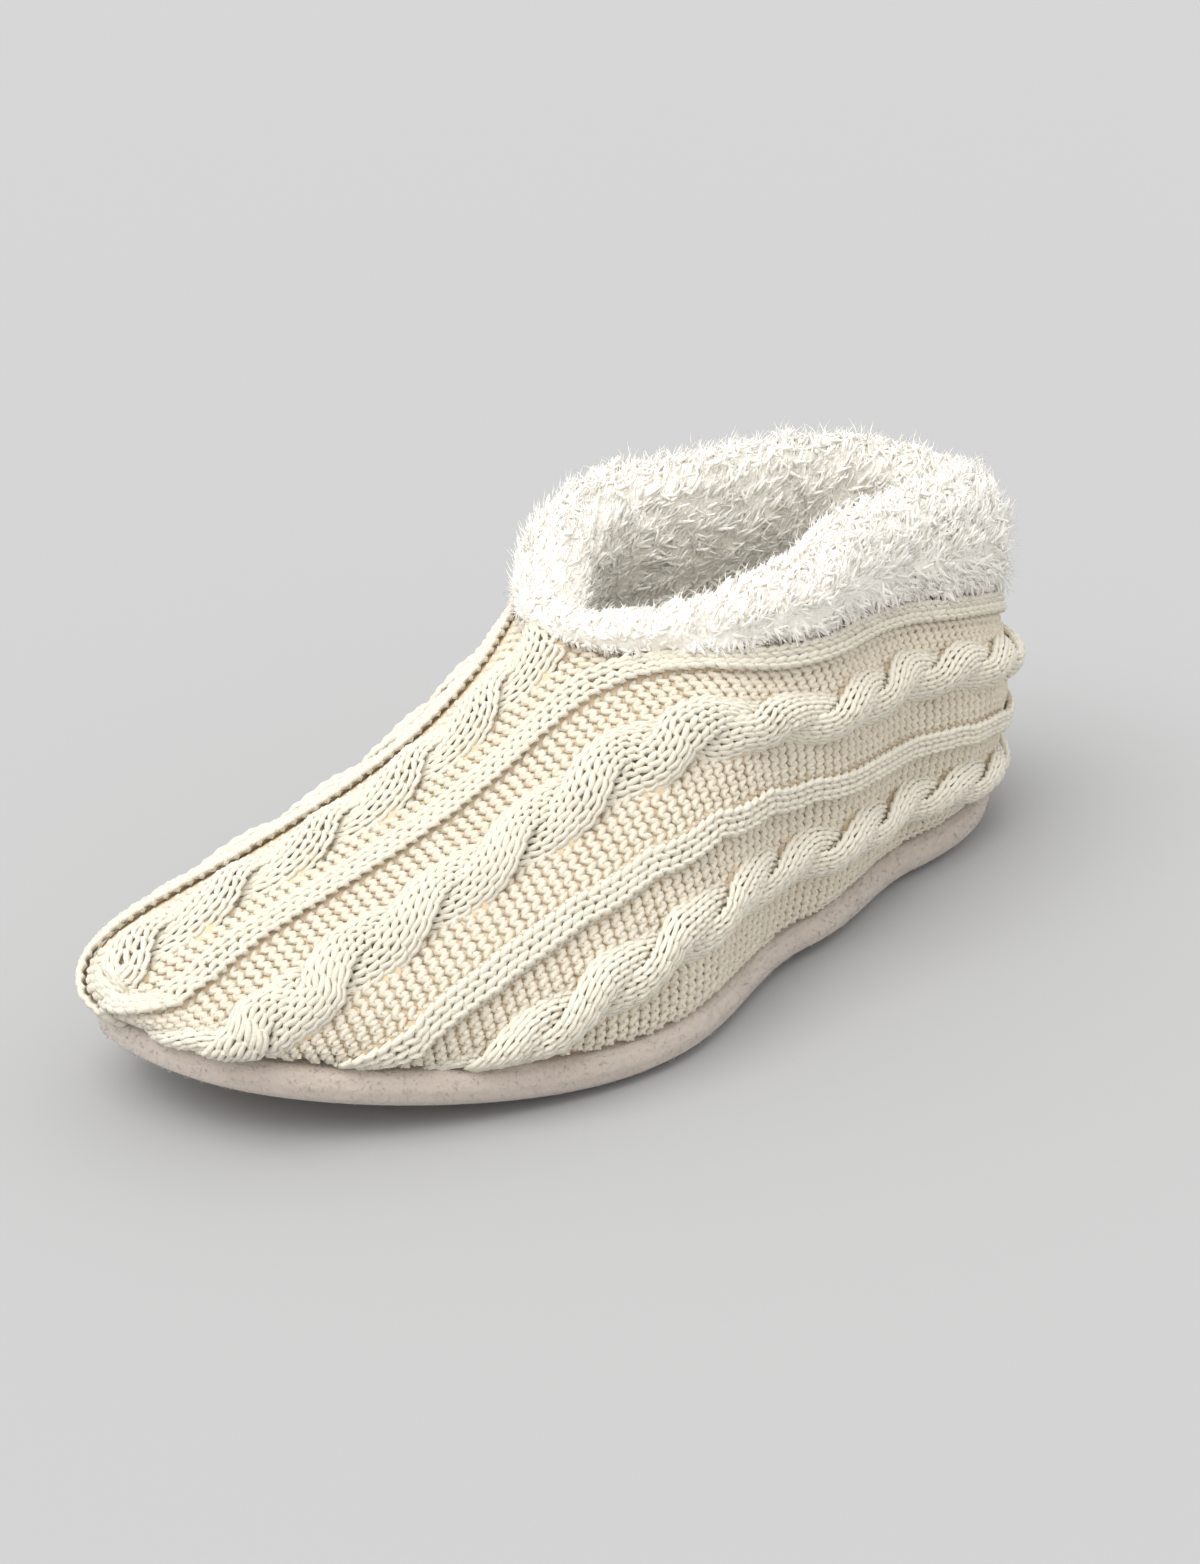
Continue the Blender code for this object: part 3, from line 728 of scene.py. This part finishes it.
# %% Ways around the collar
CUFF_THROAT_RISE, CUFF_HEEL_RISE, CUFF_INNER_SIDE_EXTRA = 0.0065, 0.030, 0.006
CUFF_SECTION = (
    # (name, out, share of the rise, extra height)
    ("foot", 0.0008, 0.00, 0.0008),
    ("outer low", 0.0028, 0.28, 0.0),
    ("outer middle", 0.0036, 0.52, 0.0),
    ("outer high", 0.0028, 0.76, 0.0),
    ("rim outside", 0.0002, 0.93, 0.0),
    ("rim", -0.0032, 1.00, 0.0),
    ("rim inside", -0.0072, 0.93, 0.0),
    ("inner high", -0.0102, 0.70, 0.0),
    ("inner low", -0.0118, 0.30, 0.0),
    ("leg top", -0.0120, 0.00, -0.0030),
    ("leg inside", -0.0120, 0.00, -0.0110),
    ("leg end", -0.0092, 0.00, -0.0150),
    ("leg outside", -0.0060, 0.00, -0.0120),
    ("leg root", -0.0042, 0.00, 0.0010),
)
CUFF_RISE_POWER, INNER_SIDE_FROM, EVEN_SHARE = 0.75, 0.15, 0.35
NEAR_ALONG, NEAR_BELOW, LEVEL_BELOW = 0.002, 0.004, 0.94
CUFF_UPRIGHT = np.array([0, 0, 1.2])


def cuff_ways(s, side):
    """Collar point, the ways up and out of the wall, and the cuff's own two ways."""
    edge = skin(s, 1.0, side)
    ahead = skin(np.minimum(s + NEAR_ALONG, LENGTH), 1.0, side)
    behind = skin(np.maximum(s - NEAR_ALONG, THROAT_AT), 1.0, side)
    across = np.stack([side, side * 0.0, side * 0.0], axis=-1)
    run = np.where((s <= THROAT_AT)[:, None], across, unit(ahead - behind))
    run = np.where((s >= LENGTH)[:, None], -across, run)
    below = np.where((s <= THROAT_AT)[:, None], skin(s - NEAR_BELOW, 1.0, side),
                     skin(s, LEVEL_BELOW, side))
    wall_out = unit(np.cross(below - edge, run) * side[:, None])
    along_wall = unit(np.cross(wall_out, run) * side[:, None])
    up = unit(along_wall + CUFF_UPRIGHT)
    cuff_out = unit(np.cross(run, up) * side[:, None])
    return edge, along_wall, wall_out, up, cuff_out


def cuff_rise(s, side):
    t = collar_share(s)
    rise = CUFF_THROAT_RISE + (CUFF_HEEL_RISE - CUFF_THROAT_RISE) * t ** CUFF_RISE_POWER
    extra = CUFF_INNER_SIDE_EXTRA * ease(t / INNER_SIDE_FROM) * (1 - t)
    return rise + np.where(side < 0, extra, 0)


def cuff_surface(turns):
    """Rings of section points; turns runs 0 to 1 from the throat outside and back inside."""
    u = 1 - np.abs(1 - 2 * turns)
    side = np.where(turns <= 0.5, 1.0, -1.0)
    share = EVEN_SHARE * u + (1 - EVEN_SHARE) / 2 * (1 - np.cos(np.pi * u))
    s = THROAT_AT + (LENGTH - THROAT_AT) * share
    edge, along_wall, wall_out, up, cuff_out = cuff_ways(s, side)
    rise = cuff_rise(s, side)
    ring = []
    for name, out, height, extra in CUFF_SECTION:
        if name.startswith("leg"):
            ring.append(edge + along_wall * extra + wall_out * out)
        else:
            ring.append(edge + up * (height * rise + extra)[:, None] + cuff_out * out)
    return np.stack(ring, axis=1), rise


def spline(rings, parts):
    """Closed smooth curves through the points of each ring."""
    before, here = np.roll(rings, 1, axis=1), rings
    after, later = np.roll(rings, -1, axis=1), np.roll(rings, -2, axis=1)
    pieces = []
    for k in range(parts):
        t = k / parts
        pieces.append(
            0.5 * (2 * here + (after - before) * t
                   + (2 * before - 5 * here + 4 * after - later) * t ** 2
                   + (3 * here - before - 3 * after + later) * t ** 3)
        )
    return np.stack(pieces, axis=2).reshape(rings.shape[0], -1, 3)


print("cuff stands", 1000 * CUFF_HEEL_RISE, "mm over the edge of the knit at the heel")

# %% [markdown]
# ## The cloth under the pile
# Plush is never quite smooth, because its pile lies in small drifts. A torus could be
# sculpted to this form, but it would not sit on the edge of the collar. So the splined
# rings become a grid of faces, noise raises and lowers it, and the last ring is welded
# to the first.

# %% Make the cloth of the cuff
CUFF_RINGS, CUFF_PARTS = 220, 4
LUMP_SCALE, LUMP_HEIGHT, CLOTH_RAISE = 230.0, 0.0012, 0.0006


def weld(piece, distance):
    """Joins corners that lie together and turns all faces outwards."""
    deselect()
    bpy.context.view_layer.objects.active = piece
    piece.select_set(True)
    bpy.ops.object.mode_set(mode="EDIT")
    bpy.ops.mesh.select_all(action="SELECT")
    bpy.ops.mesh.remove_doubles(threshold=distance)
    bpy.ops.mesh.normals_make_consistent(inside=False)
    bpy.ops.object.mode_set(mode="OBJECT")


PLUSH = mottled("plush ground", 420.0, ((0.92, 0.87, 0.77), (0.96, 0.93, 0.86)),
                (900.0, 4.0, 0.0008), Roughness=0.95, Sheen_Weight=0.3)
cuff_points, cuff_heights = cuff_surface(np.arange(CUFF_RINGS) / CUFF_RINGS)
cuff_points = spline(cuff_points, CUFF_PARTS)
lumps = [noise.noise(Vector(spot) * LUMP_SCALE) for spot in cuff_points.reshape(-1, 3)]
lumps = np.array(lumps).reshape(cuff_points.shape[:2])
around_ring = np.roll(cuff_points, -1, axis=0) - np.roll(cuff_points, 1, axis=0)
along_section = np.roll(cuff_points, -1, axis=1) - np.roll(cuff_points, 1, axis=1)
cuff_faces = unit(np.cross(around_ring, along_section))
cuff_points += cuff_faces * (CLOTH_RAISE + LUMP_HEIGHT * lumps)[..., None]
closed = np.concatenate([cuff_points, cuff_points[:1]])
closed = np.concatenate([closed, closed[:, :1]], axis=1)
every = np.ones(lumps.shape, dtype=bool)
cuff = grid_mesh("cuff_cloth", closed, every, PLUSH)
weld(cuff, 0.00002)
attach(cuff, "root")
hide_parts("plush_cuff")
print("cuff", len(cuff.data.polygons), "faces")

# %% [markdown]
# ## The pile
# The coat of long-pile plush gathers in small locks that lie over one another like
# shingles, with single fibres standing out between them. A lock is a cone in three
# lengths, drawn out along a leaning curve; a fibre is a thin spike of the same kind.
# A hair system would need far more strands, and its hairs can't be kept as a light mesh.
# So all are placed by arithmetic and joined into a few meshes.

# %% Shape of a lock
LOCK = (4, (0.0, 0.35, 0.72), (0.9, 1.0, 0.62))
FIBRE = (3, (0.0, 0.5), (1.0, 0.8))
PILE_KINDS = (
    # (kind, form, radius, height of the tip as a share of the length)
    ("locks", LOCK, (0.00042, 0.00068), (0.06, 0.30)),
    ("fibres", FIBRE, (0.00010, 0.00018), (0.35, 0.95)),
)
ROOT_DEPTH, ARCH = 0.0005, 0.7
LEAN_SPREAD, LENGTH_SPREAD = 0.40, (0.75, 1.25)


def grid_cells(points):
    """Corners, normal and area of every cell of a grid of points."""
    base, ahead = points[:-1, :-1], points[1:, :-1]
    beside, corner = points[:-1, 1:], points[1:, 1:]
    normal = np.cross(ahead - base, beside - base)
    return base, ahead, beside, corner, unit(normal), np.linalg.norm(normal, axis=2)


def sample(cells, weight, count):
    """Random places on a grid, with their normals and cells, as dense as weight says."""
    base, ahead, beside, corner, normal, area = cells
    chance = (area * weight).reshape(-1)
    pick = RANDOM.choice(len(chance), count, p=chance / chance.sum())
    i, j = np.unravel_index(pick, area.shape)
    a, b = RANDOM.random((count, 1)), RANDOM.random((count, 1))
    place = (base[i, j] * (1 - a) + ahead[i, j] * a) * (1 - b)
    place += (beside[i, j] * (1 - a) + corner[i, j] * a) * b
    return place, normal[i, j], i, j


def cone_faces(sides, rings):
    faces = [tuple(range(sides))[::-1]]
    for ring in range(rings):
        for k in range(sides):
            low, beside = ring * sides + k, ring * sides + (k + 1) % sides
            if ring < rings - 1:
                faces.append((low, beside, beside + sides, low + sides))
            else:
                faces.append((low, beside, rings * sides))
    return faces


def tufts(name, place, normal, way, length, thick, stand, form, finish):
    """Cones along leaning curves: way is the lean, stand the height of the tip."""
    sides, steps, bodies = form
    lean = unit(way - normal * np.sum(way * normal, axis=1, keepdims=True))
    across = np.cross(normal, lean)
    turns = 2 * np.pi * np.arange(sides) / sides
    rings = []
    for step, body in zip(steps, bodies):
        arch = (stand * step * (1 + ARCH - ARCH * step) - ROOT_DEPTH * (1 - step))[:, None]
        middle = place + lean * (length * step)[:, None] + normal * arch
        size = (thick * body)[:, None, None]
        ring = across[:, None] * np.cos(turns)[:, None]
        ring = ring + normal[:, None] * np.sin(turns)[:, None]
        rings.append(middle[:, None] + size * ring)
    tip = place + lean * length[:, None] + normal * stand[:, None]
    points = np.concatenate([*rings, tip[:, None]], axis=1)
    return joined(name, points, cone_faces(sides, len(steps)), finish)


def coat(name, cells, zone, way, counts, reach):
    """A coat over one zone; way gives the lean and reach the length for picked cells."""
    for (kind, form, radius, height), count in zip(PILE_KINDS, counts):
        place, normal, i, j = sample(cells, zone, count)
        lean = way(i, j) + RANDOM.normal(0, LEAN_SPREAD, (count, 3))
        length = reach(i, j) * RANDOM.uniform(*LENGTH_SPREAD, count)
        thick = RANDOM.uniform(*radius, count)
        stand = length * RANDOM.uniform(*height, count)
        tufts(f"{name}_{kind}", place, normal, lean, length, thick, stand, form, FUR)


FUR = mottled("plush pile", 150.0, ((0.965, 0.925, 0.85), (0.98, 0.955, 0.90)),
              (1100.0, 3.0, 0.0004), Roughness=0.85, Sheen_Weight=0.3)

# %% [markdown]
# ## The coat of the cuff
# The pile of a turned cuff falls away from its rim on both sides, and it is longest where
# the cuff is high. Two zones of the cloth, outside and inside, get a coat each; places
# are drawn at random, so that no rows show.

# %% Grow the pile of the cuff
OUTSIDE_TO, INSIDE_TO = 5.5, 11.2
LEAN_BACK, LEAN_UP, LEAN_DOWN, LEAN_UP_FROM = 0.35, 0.6, -0.5, 1.2
SHORTEST, LONGER, LONGEST_AT = 0.0019, 0.0027, 0.022

cells = grid_cells(closed)
section = np.arange(cuff_points.shape[1]) / CUFF_PARTS
outside = (section < OUTSIDE_TO)[None, :] * np.ones((CUFF_RINGS, 1))
inside = ((section >= OUTSIDE_TO) & (section < INSIDE_TO))[None, :] * np.ones((CUFF_RINGS, 1))


def cuff_lean(i, j):
    way = np.zeros((len(i), 3))
    way[:, 1] = LEAN_BACK
    way[:, 2] = np.where(section[j] > LEAN_UP_FROM, LEAN_UP, LEAN_DOWN)
    return way


def cuff_reach(i, j):
    return SHORTEST + LONGER * np.clip(cuff_heights[i] / LONGEST_AT, 0, 1)


def everywhere(value):
    """A lean or a length that is the same in all cells."""
    return lambda i, j: value


coat("pile_outside", cells, outside, cuff_lean, (6800, 4500), cuff_reach)
coat("pile_inside", cells, inside, cuff_lean, (5000, 2600), cuff_reach)

# %% [markdown]
# ## The lining
# Inside, the foot meets the same plush with a shorter coat. The lining is a thin coat on
# the inner side of the wall, from the toe to the heel. It swells a little below the cuff,
# because the coats of both lie against each other there.

# %% Line the inside
LINING_DEPTH, LINING_SWELL, LINING_THICK = 0.0031, 0.0095, 0.0010
LINING_END, LINING_FOOT = 0.004, 0.02
SWELL_FROM, SWELL_RUN = 0.085, 0.025
SWELL_LEVELS = ((0.15, 0.45), (0.88, 0.10))
LINING_ROWS, LINING_LEVELS = 100, 26
PILE_FROM_ROW, PILE_FROM_LEVEL = 36, 4


def inner_coat(side):
    """Half of the lining: the wall's skin moved inwards."""
    s = LINING_END + (LENGTH - 2 * LINING_END) * np.linspace(0, 1, LINING_ROWS)[:, None]
    level = np.linspace(LINING_FOOT, 1, LINING_LEVELS)[None, :]
    base = skin(s, level, side)
    out = side * unit(np.cross(np.gradient(base, axis=0), np.gradient(base, axis=1)))
    (low, low_run), (high, high_run) = SWELL_LEVELS
    swell = ease((level - low) / low_run) * (1 - ease((level - high) / high_run))
    depth = LINING_DEPTH + LINING_SWELL * swell * ease((s - SWELL_FROM) / SWELL_RUN)
    return base - out * depth[..., None]


lining_points = np.concatenate([inner_coat(1), inner_coat(-1)[::-1]])
made = np.ones((2 * LINING_ROWS - 1, LINING_LEVELS - 1), dtype=bool)
lining = grid_mesh("plush_lining", lining_points, made, PLUSH)
weld(lining, 0.0006)
skin_thickness = lining.modifiers.new("thickness", "SOLIDIFY")
skin_thickness.thickness = LINING_THICK
bpy.ops.object.modifier_apply(modifier=skin_thickness.name)
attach(lining, "root")
print("lining", len(lining.data.polygons), "faces")

*corners, normal, area = grid_cells(lining_points)
cells = (*corners, -normal, area)
rows = np.arange(2 * LINING_ROWS - 1)
from_toe = np.minimum(rows, rows[::-1])
seen = (from_toe > PILE_FROM_ROW)[:, None] * (np.arange(LINING_LEVELS - 1) > PILE_FROM_LEVEL)
coat("pile_lining", cells, seen.astype(float), everywhere(0.0), (1700,), everywhere(0.0042))

# %% [markdown]
# ## The padded sole and the footbed
# Both are pads inside an outline. A pad starts as a circle that is extruded level by
# level; each level then takes the outline of the sole at its own distance and height,
# and the first and the last are drawn together on the middle line and welded.

# %% Model a pad
AROUND = 160
INNER_SHARES = (0.0, 0.35, 0.7)

around = np.arange(AROUND) / AROUND
AROUND_SIDE = np.where(around <= 0.5, 1.0, -1.0)
AROUND_S = LENGTH * (1 - np.cos(np.pi * (1 - np.abs(1 - 2 * around)))) / 2


def outline_ring(offset, height, share=1.0):
    """One level of a pad; share below 1 draws it towards the middle line."""
    out_x, out_y = outward(AROUND_S, AROUND_SIDE)
    at_end = (AROUND_S <= 0) | (AROUND_S >= LENGTH)
    out_x = np.where(at_end, 0, out_x)
    out_y = np.where(at_end, np.where(AROUND_S <= 0, -1, 1), out_y)
    x = AROUND_SIDE * half_width(AROUND_S, AROUND_SIDE) + out_x * offset
    edge_y = AROUND_S + out_y * offset
    middle_y = np.clip(AROUND_S, max(-offset, 0), LENGTH + min(offset, 0))
    y = share * edge_y + (1 - share) * middle_y - ORIGIN_AT
    return np.stack([share * x + centre(AROUND_S), y, height + 0 * x], axis=-1)


def pad_rings(levels, height):
    """Rings from the lower middle line, around the edge, to the upper middle line."""
    (first, low), (last, high) = levels[0], levels[-1]
    rings = [outline_ring(first, height(low), part) for part in INNER_SHARES]
    rings += [outline_ring(offset, height(share)) for offset, share in levels]
    return rings + [outline_ring(last, height(high), part) for part in INNER_SHARES[::-1]]


def pad(name, rings, finish):
    deselect()
    bpy.ops.mesh.primitive_circle_add(vertices=AROUND, radius=1, fill_type="NOTHING")
    piece = bpy.context.object
    piece.name = name
    bpy.ops.object.mode_set(mode="EDIT")
    bpy.ops.mesh.select_all(action="SELECT")
    for _ in rings[1:]:
        bpy.ops.mesh.extrude_region_move(TRANSFORM_OT_translate={"value": (0, 0, 1)})
    bpy.ops.object.mode_set(mode="OBJECT")
    for vert in piece.data.vertices:
        turn = math.atan2(vert.co.y, vert.co.x) / (2 * math.pi)
        vert.co = rings[round(vert.co.z)][round(turn * AROUND) % AROUND]
    weld(piece, 0.00001)
    bpy.ops.object.shade_smooth()
    piece.data.materials.append(finish)
    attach(piece, "root")
    print(name, len(piece.data.polygons), "faces")
    return piece


# %% [markdown]
# ## The sole
# The sole is suede-like cloth drawn over thin foam, which rounds its side. A bevelled
# outline would give one even radius; a table of levels gives the slack lower edge and
# the pull of the seam. The nap is mostly bump and sheen, and short fibres on the side
# soften its outline.

# %% Make the sole
SOLE_LEVELS = (
    # (distance outside the seam line, share of the seam height)
    (-0.0060, 0.00),
    (-0.0022, 0.07),
    (0.0004, 0.28),
    (0.0012, 0.60),
    (0.0006, 0.88),
    (-0.0010, 1.00),
)
LEVEL_PARTS = 3
ARCH_LIFT, ARCH_FROM, ARCH_TO = 0.0012, 0.115, 0.180
NAP_FIBRES, NAP_LENGTH, NAP_RADIUS = 3600, (0.0006, 0.0013), (0.00005, 0.00009)
NAP_STAND = (0.2, 0.7)


def sole_height(share):
    rise = np.sin(np.pi * np.clip((AROUND_S - ARCH_FROM) / (ARCH_TO - ARCH_FROM), 0, 1)) ** 2
    return lift(AROUND_S) + share * SEAM_HEIGHT + (1 - share) * ARCH_LIFT * rise


profile = np.array(SOLE_LEVELS)
knots = np.arange(len(profile))
fine = np.linspace(0, len(profile) - 1, LEVEL_PARTS * (len(profile) - 1) + 1)
levels = np.stack([np.interp(fine, knots, profile[:, k]) for k in range(2)], axis=-1)
rings = pad_rings(levels, sole_height)
suede = Finish("suede cloth", Roughness=0.9, Sheen_Weight=0.5)
nap = suede.noise(700.0, detail=5.0, roughness=0.7)
mottle = suede.noise(90.0, detail=3.0)
shades = ((0.50, 0.42, 0.355), (0.64, 0.56, 0.485))
suede.set("Base Color", suede.blend(mottle * 0.6 + nap * 0.4, *shades))
suede.bump(mottle * 1.5 + nap, 0.0005)
sole = pad("sole_cover", rings, suede.material)
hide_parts("padded_sole")

walls = np.array(rings[len(INNER_SHARES):-len(INNER_SHARES)])
cells = grid_cells(np.concatenate([walls, walls[:, :1]], axis=1))
upper_wall = np.ones(cells[5].shape)
upper_wall[: len(upper_wall) // 3] = 0
place, normal, i, j = sample(cells, upper_wall, NAP_FIBRES)
lean = RANDOM.normal(0, 1, place.shape)
length = RANDOM.uniform(*NAP_LENGTH, NAP_FIBRES)
thick = RANDOM.uniform(*NAP_RADIUS, NAP_FIBRES)
stand = length * RANDOM.uniform(*NAP_STAND, NAP_FIBRES)
tufts("sole_nap", place, normal, lean, length, thick, stand, FIBRE, suede.material)

# %% [markdown]
# ## The footbed
# The insole is a thin pad covered in the plush of the lining, loose on the sole and a
# little smaller. It is thinner at the toe, where the toe box is low. Only the part
# behind the ball can be seen, and only that part gets a pile.

# %% Make the footbed
FOOTBED_THICKNESS, FOOTBED_TOE_SHARE, FOOTBED_FULL_AT = 0.004, 0.25, 0.045
FOOTBED_LEVELS = (
    # (distance outside the seam line, share of the thickness)
    (-0.0046, 0.00),
    (-0.0044, 0.60),
    (-0.0052, 0.88),
    (-0.0066, 1.00),
)


def footbed_height(share):
    full = FOOTBED_TOE_SHARE + (1 - FOOTBED_TOE_SHARE) * ease(AROUND_S / FOOTBED_FULL_AT)
    return SEAM_HEIGHT + GAP + lift(AROUND_S) + share * full * FOOTBED_THICKNESS


rings = pad_rings(FOOTBED_LEVELS, footbed_height)
bed = pad("footbed_cover", rings, PLUSH)
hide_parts("footbed")
tops = np.array(rings[-len(INNER_SHARES) - 1:][::-1])
tops = np.concatenate([tops, tops[:, :1]], axis=1)
cells = grid_cells(tops)
behind_ball = (tops[:-1, :-1, 1] > BALL_AT - ORIGIN_AT).astype(float)
coat("pile_footbed", cells, behind_ball, everywhere(0.0), (1000,), everywhere(0.0036))

# %% [markdown]
# ## Floor, light and camera
# The photo was taken on a pale, seamless floor in wide, soft light that falls from above
# and a little from the left. An area lamp close to the shoe would fade along it. A sun
# with a very large disc keeps the light even and its shadow soft, and a bright world
# fills the rest. The camera stands where the photo was taken, found from the traced
# outline, and is rolled by about a degree.

# %% Stage
FLOOR_SIZE, FLOOR_GREY = 8, 0.395
WINDOW_STRENGTH, WINDOW_SIZE, WORLD_STRENGTH = 2.08, math.radians(50), 1.05
WINDOW_RIGHT, WINDOW_UP, WINDOW_BACK = -0.42, 0.90, 0.50
CAMERA_TURN, CAMERA_RISE, CAMERA_ROLL = (math.radians(part) for part in (46.3, 26.7, -1.1))
CAMERA_DISTANCE, CAMERA_LENS, CAMERA_NEAR = 0.748, 74.0, 0.01
CAMERA_AT = Vector((-0.0064, -0.0011, 0.0))
CAMERA_AIM = Vector((-0.007, -0.001, 0.040))

deselect()
bpy.ops.mesh.primitive_plane_add(size=FLOOR_SIZE)
floor = bpy.context.object
floor.name = "floor"
stone = Finish("studio floor", Roughness=0.9)
stone.set("Base Color", (FLOOR_GREY, FLOOR_GREY, FLOOR_GREY))
floor.data.materials.append(stone.material)

scene = bpy.context.scene
scene.view_settings.view_transform = "Standard"
world = bpy.data.worlds.new("studio")
scene.world = world
world.use_nodes = True
sky = world.node_tree.nodes["Background"]
sky.inputs["Color"].default_value = (1, 1, 1, 1)
sky.inputs["Strength"].default_value = WORLD_STRENGTH

right = Vector((math.cos(CAMERA_TURN), math.sin(CAMERA_TURN), 0))
back = Vector((
    math.sin(CAMERA_TURN) * math.cos(CAMERA_RISE),
    -math.cos(CAMERA_TURN) * math.cos(CAMERA_RISE),
    math.sin(CAMERA_RISE),
))
viewpoint = CAMERA_AT + back * CAMERA_DISTANCE
sight = (viewpoint - CAMERA_AIM).normalized()
level = Vector((0, 0, 1)).cross(sight).normalized()
up = sight.cross(level)
rolled_right = level * math.cos(CAMERA_ROLL) + up * math.sin(CAMERA_ROLL)
rolled_up = up * math.cos(CAMERA_ROLL) - level * math.sin(CAMERA_ROLL)
camera_data = bpy.data.cameras.new("camera")
camera_data.lens = CAMERA_LENS
camera_data.clip_start = CAMERA_NEAR
camera = bpy.data.objects.new("camera", camera_data)
scene.collection.objects.link(camera)
pose = Matrix((rolled_right, rolled_up, sight)).transposed().to_4x4()
pose.translation = viewpoint
camera.matrix_world = pose
scene.camera = camera

window = bpy.data.lights.new("window", "SUN")
window.energy = WINDOW_STRENGTH
window.angle = WINDOW_SIZE
lamp = bpy.data.objects.new("window", window)
scene.collection.objects.link(lamp)
towards = WINDOW_RIGHT * right + Vector((0, 0, WINDOW_UP)) + WINDOW_BACK * back
lamp.rotation_euler = towards.to_track_quat("Z", "Y").to_euler()
print("camera at", [round(part, 3) for part in viewpoint])
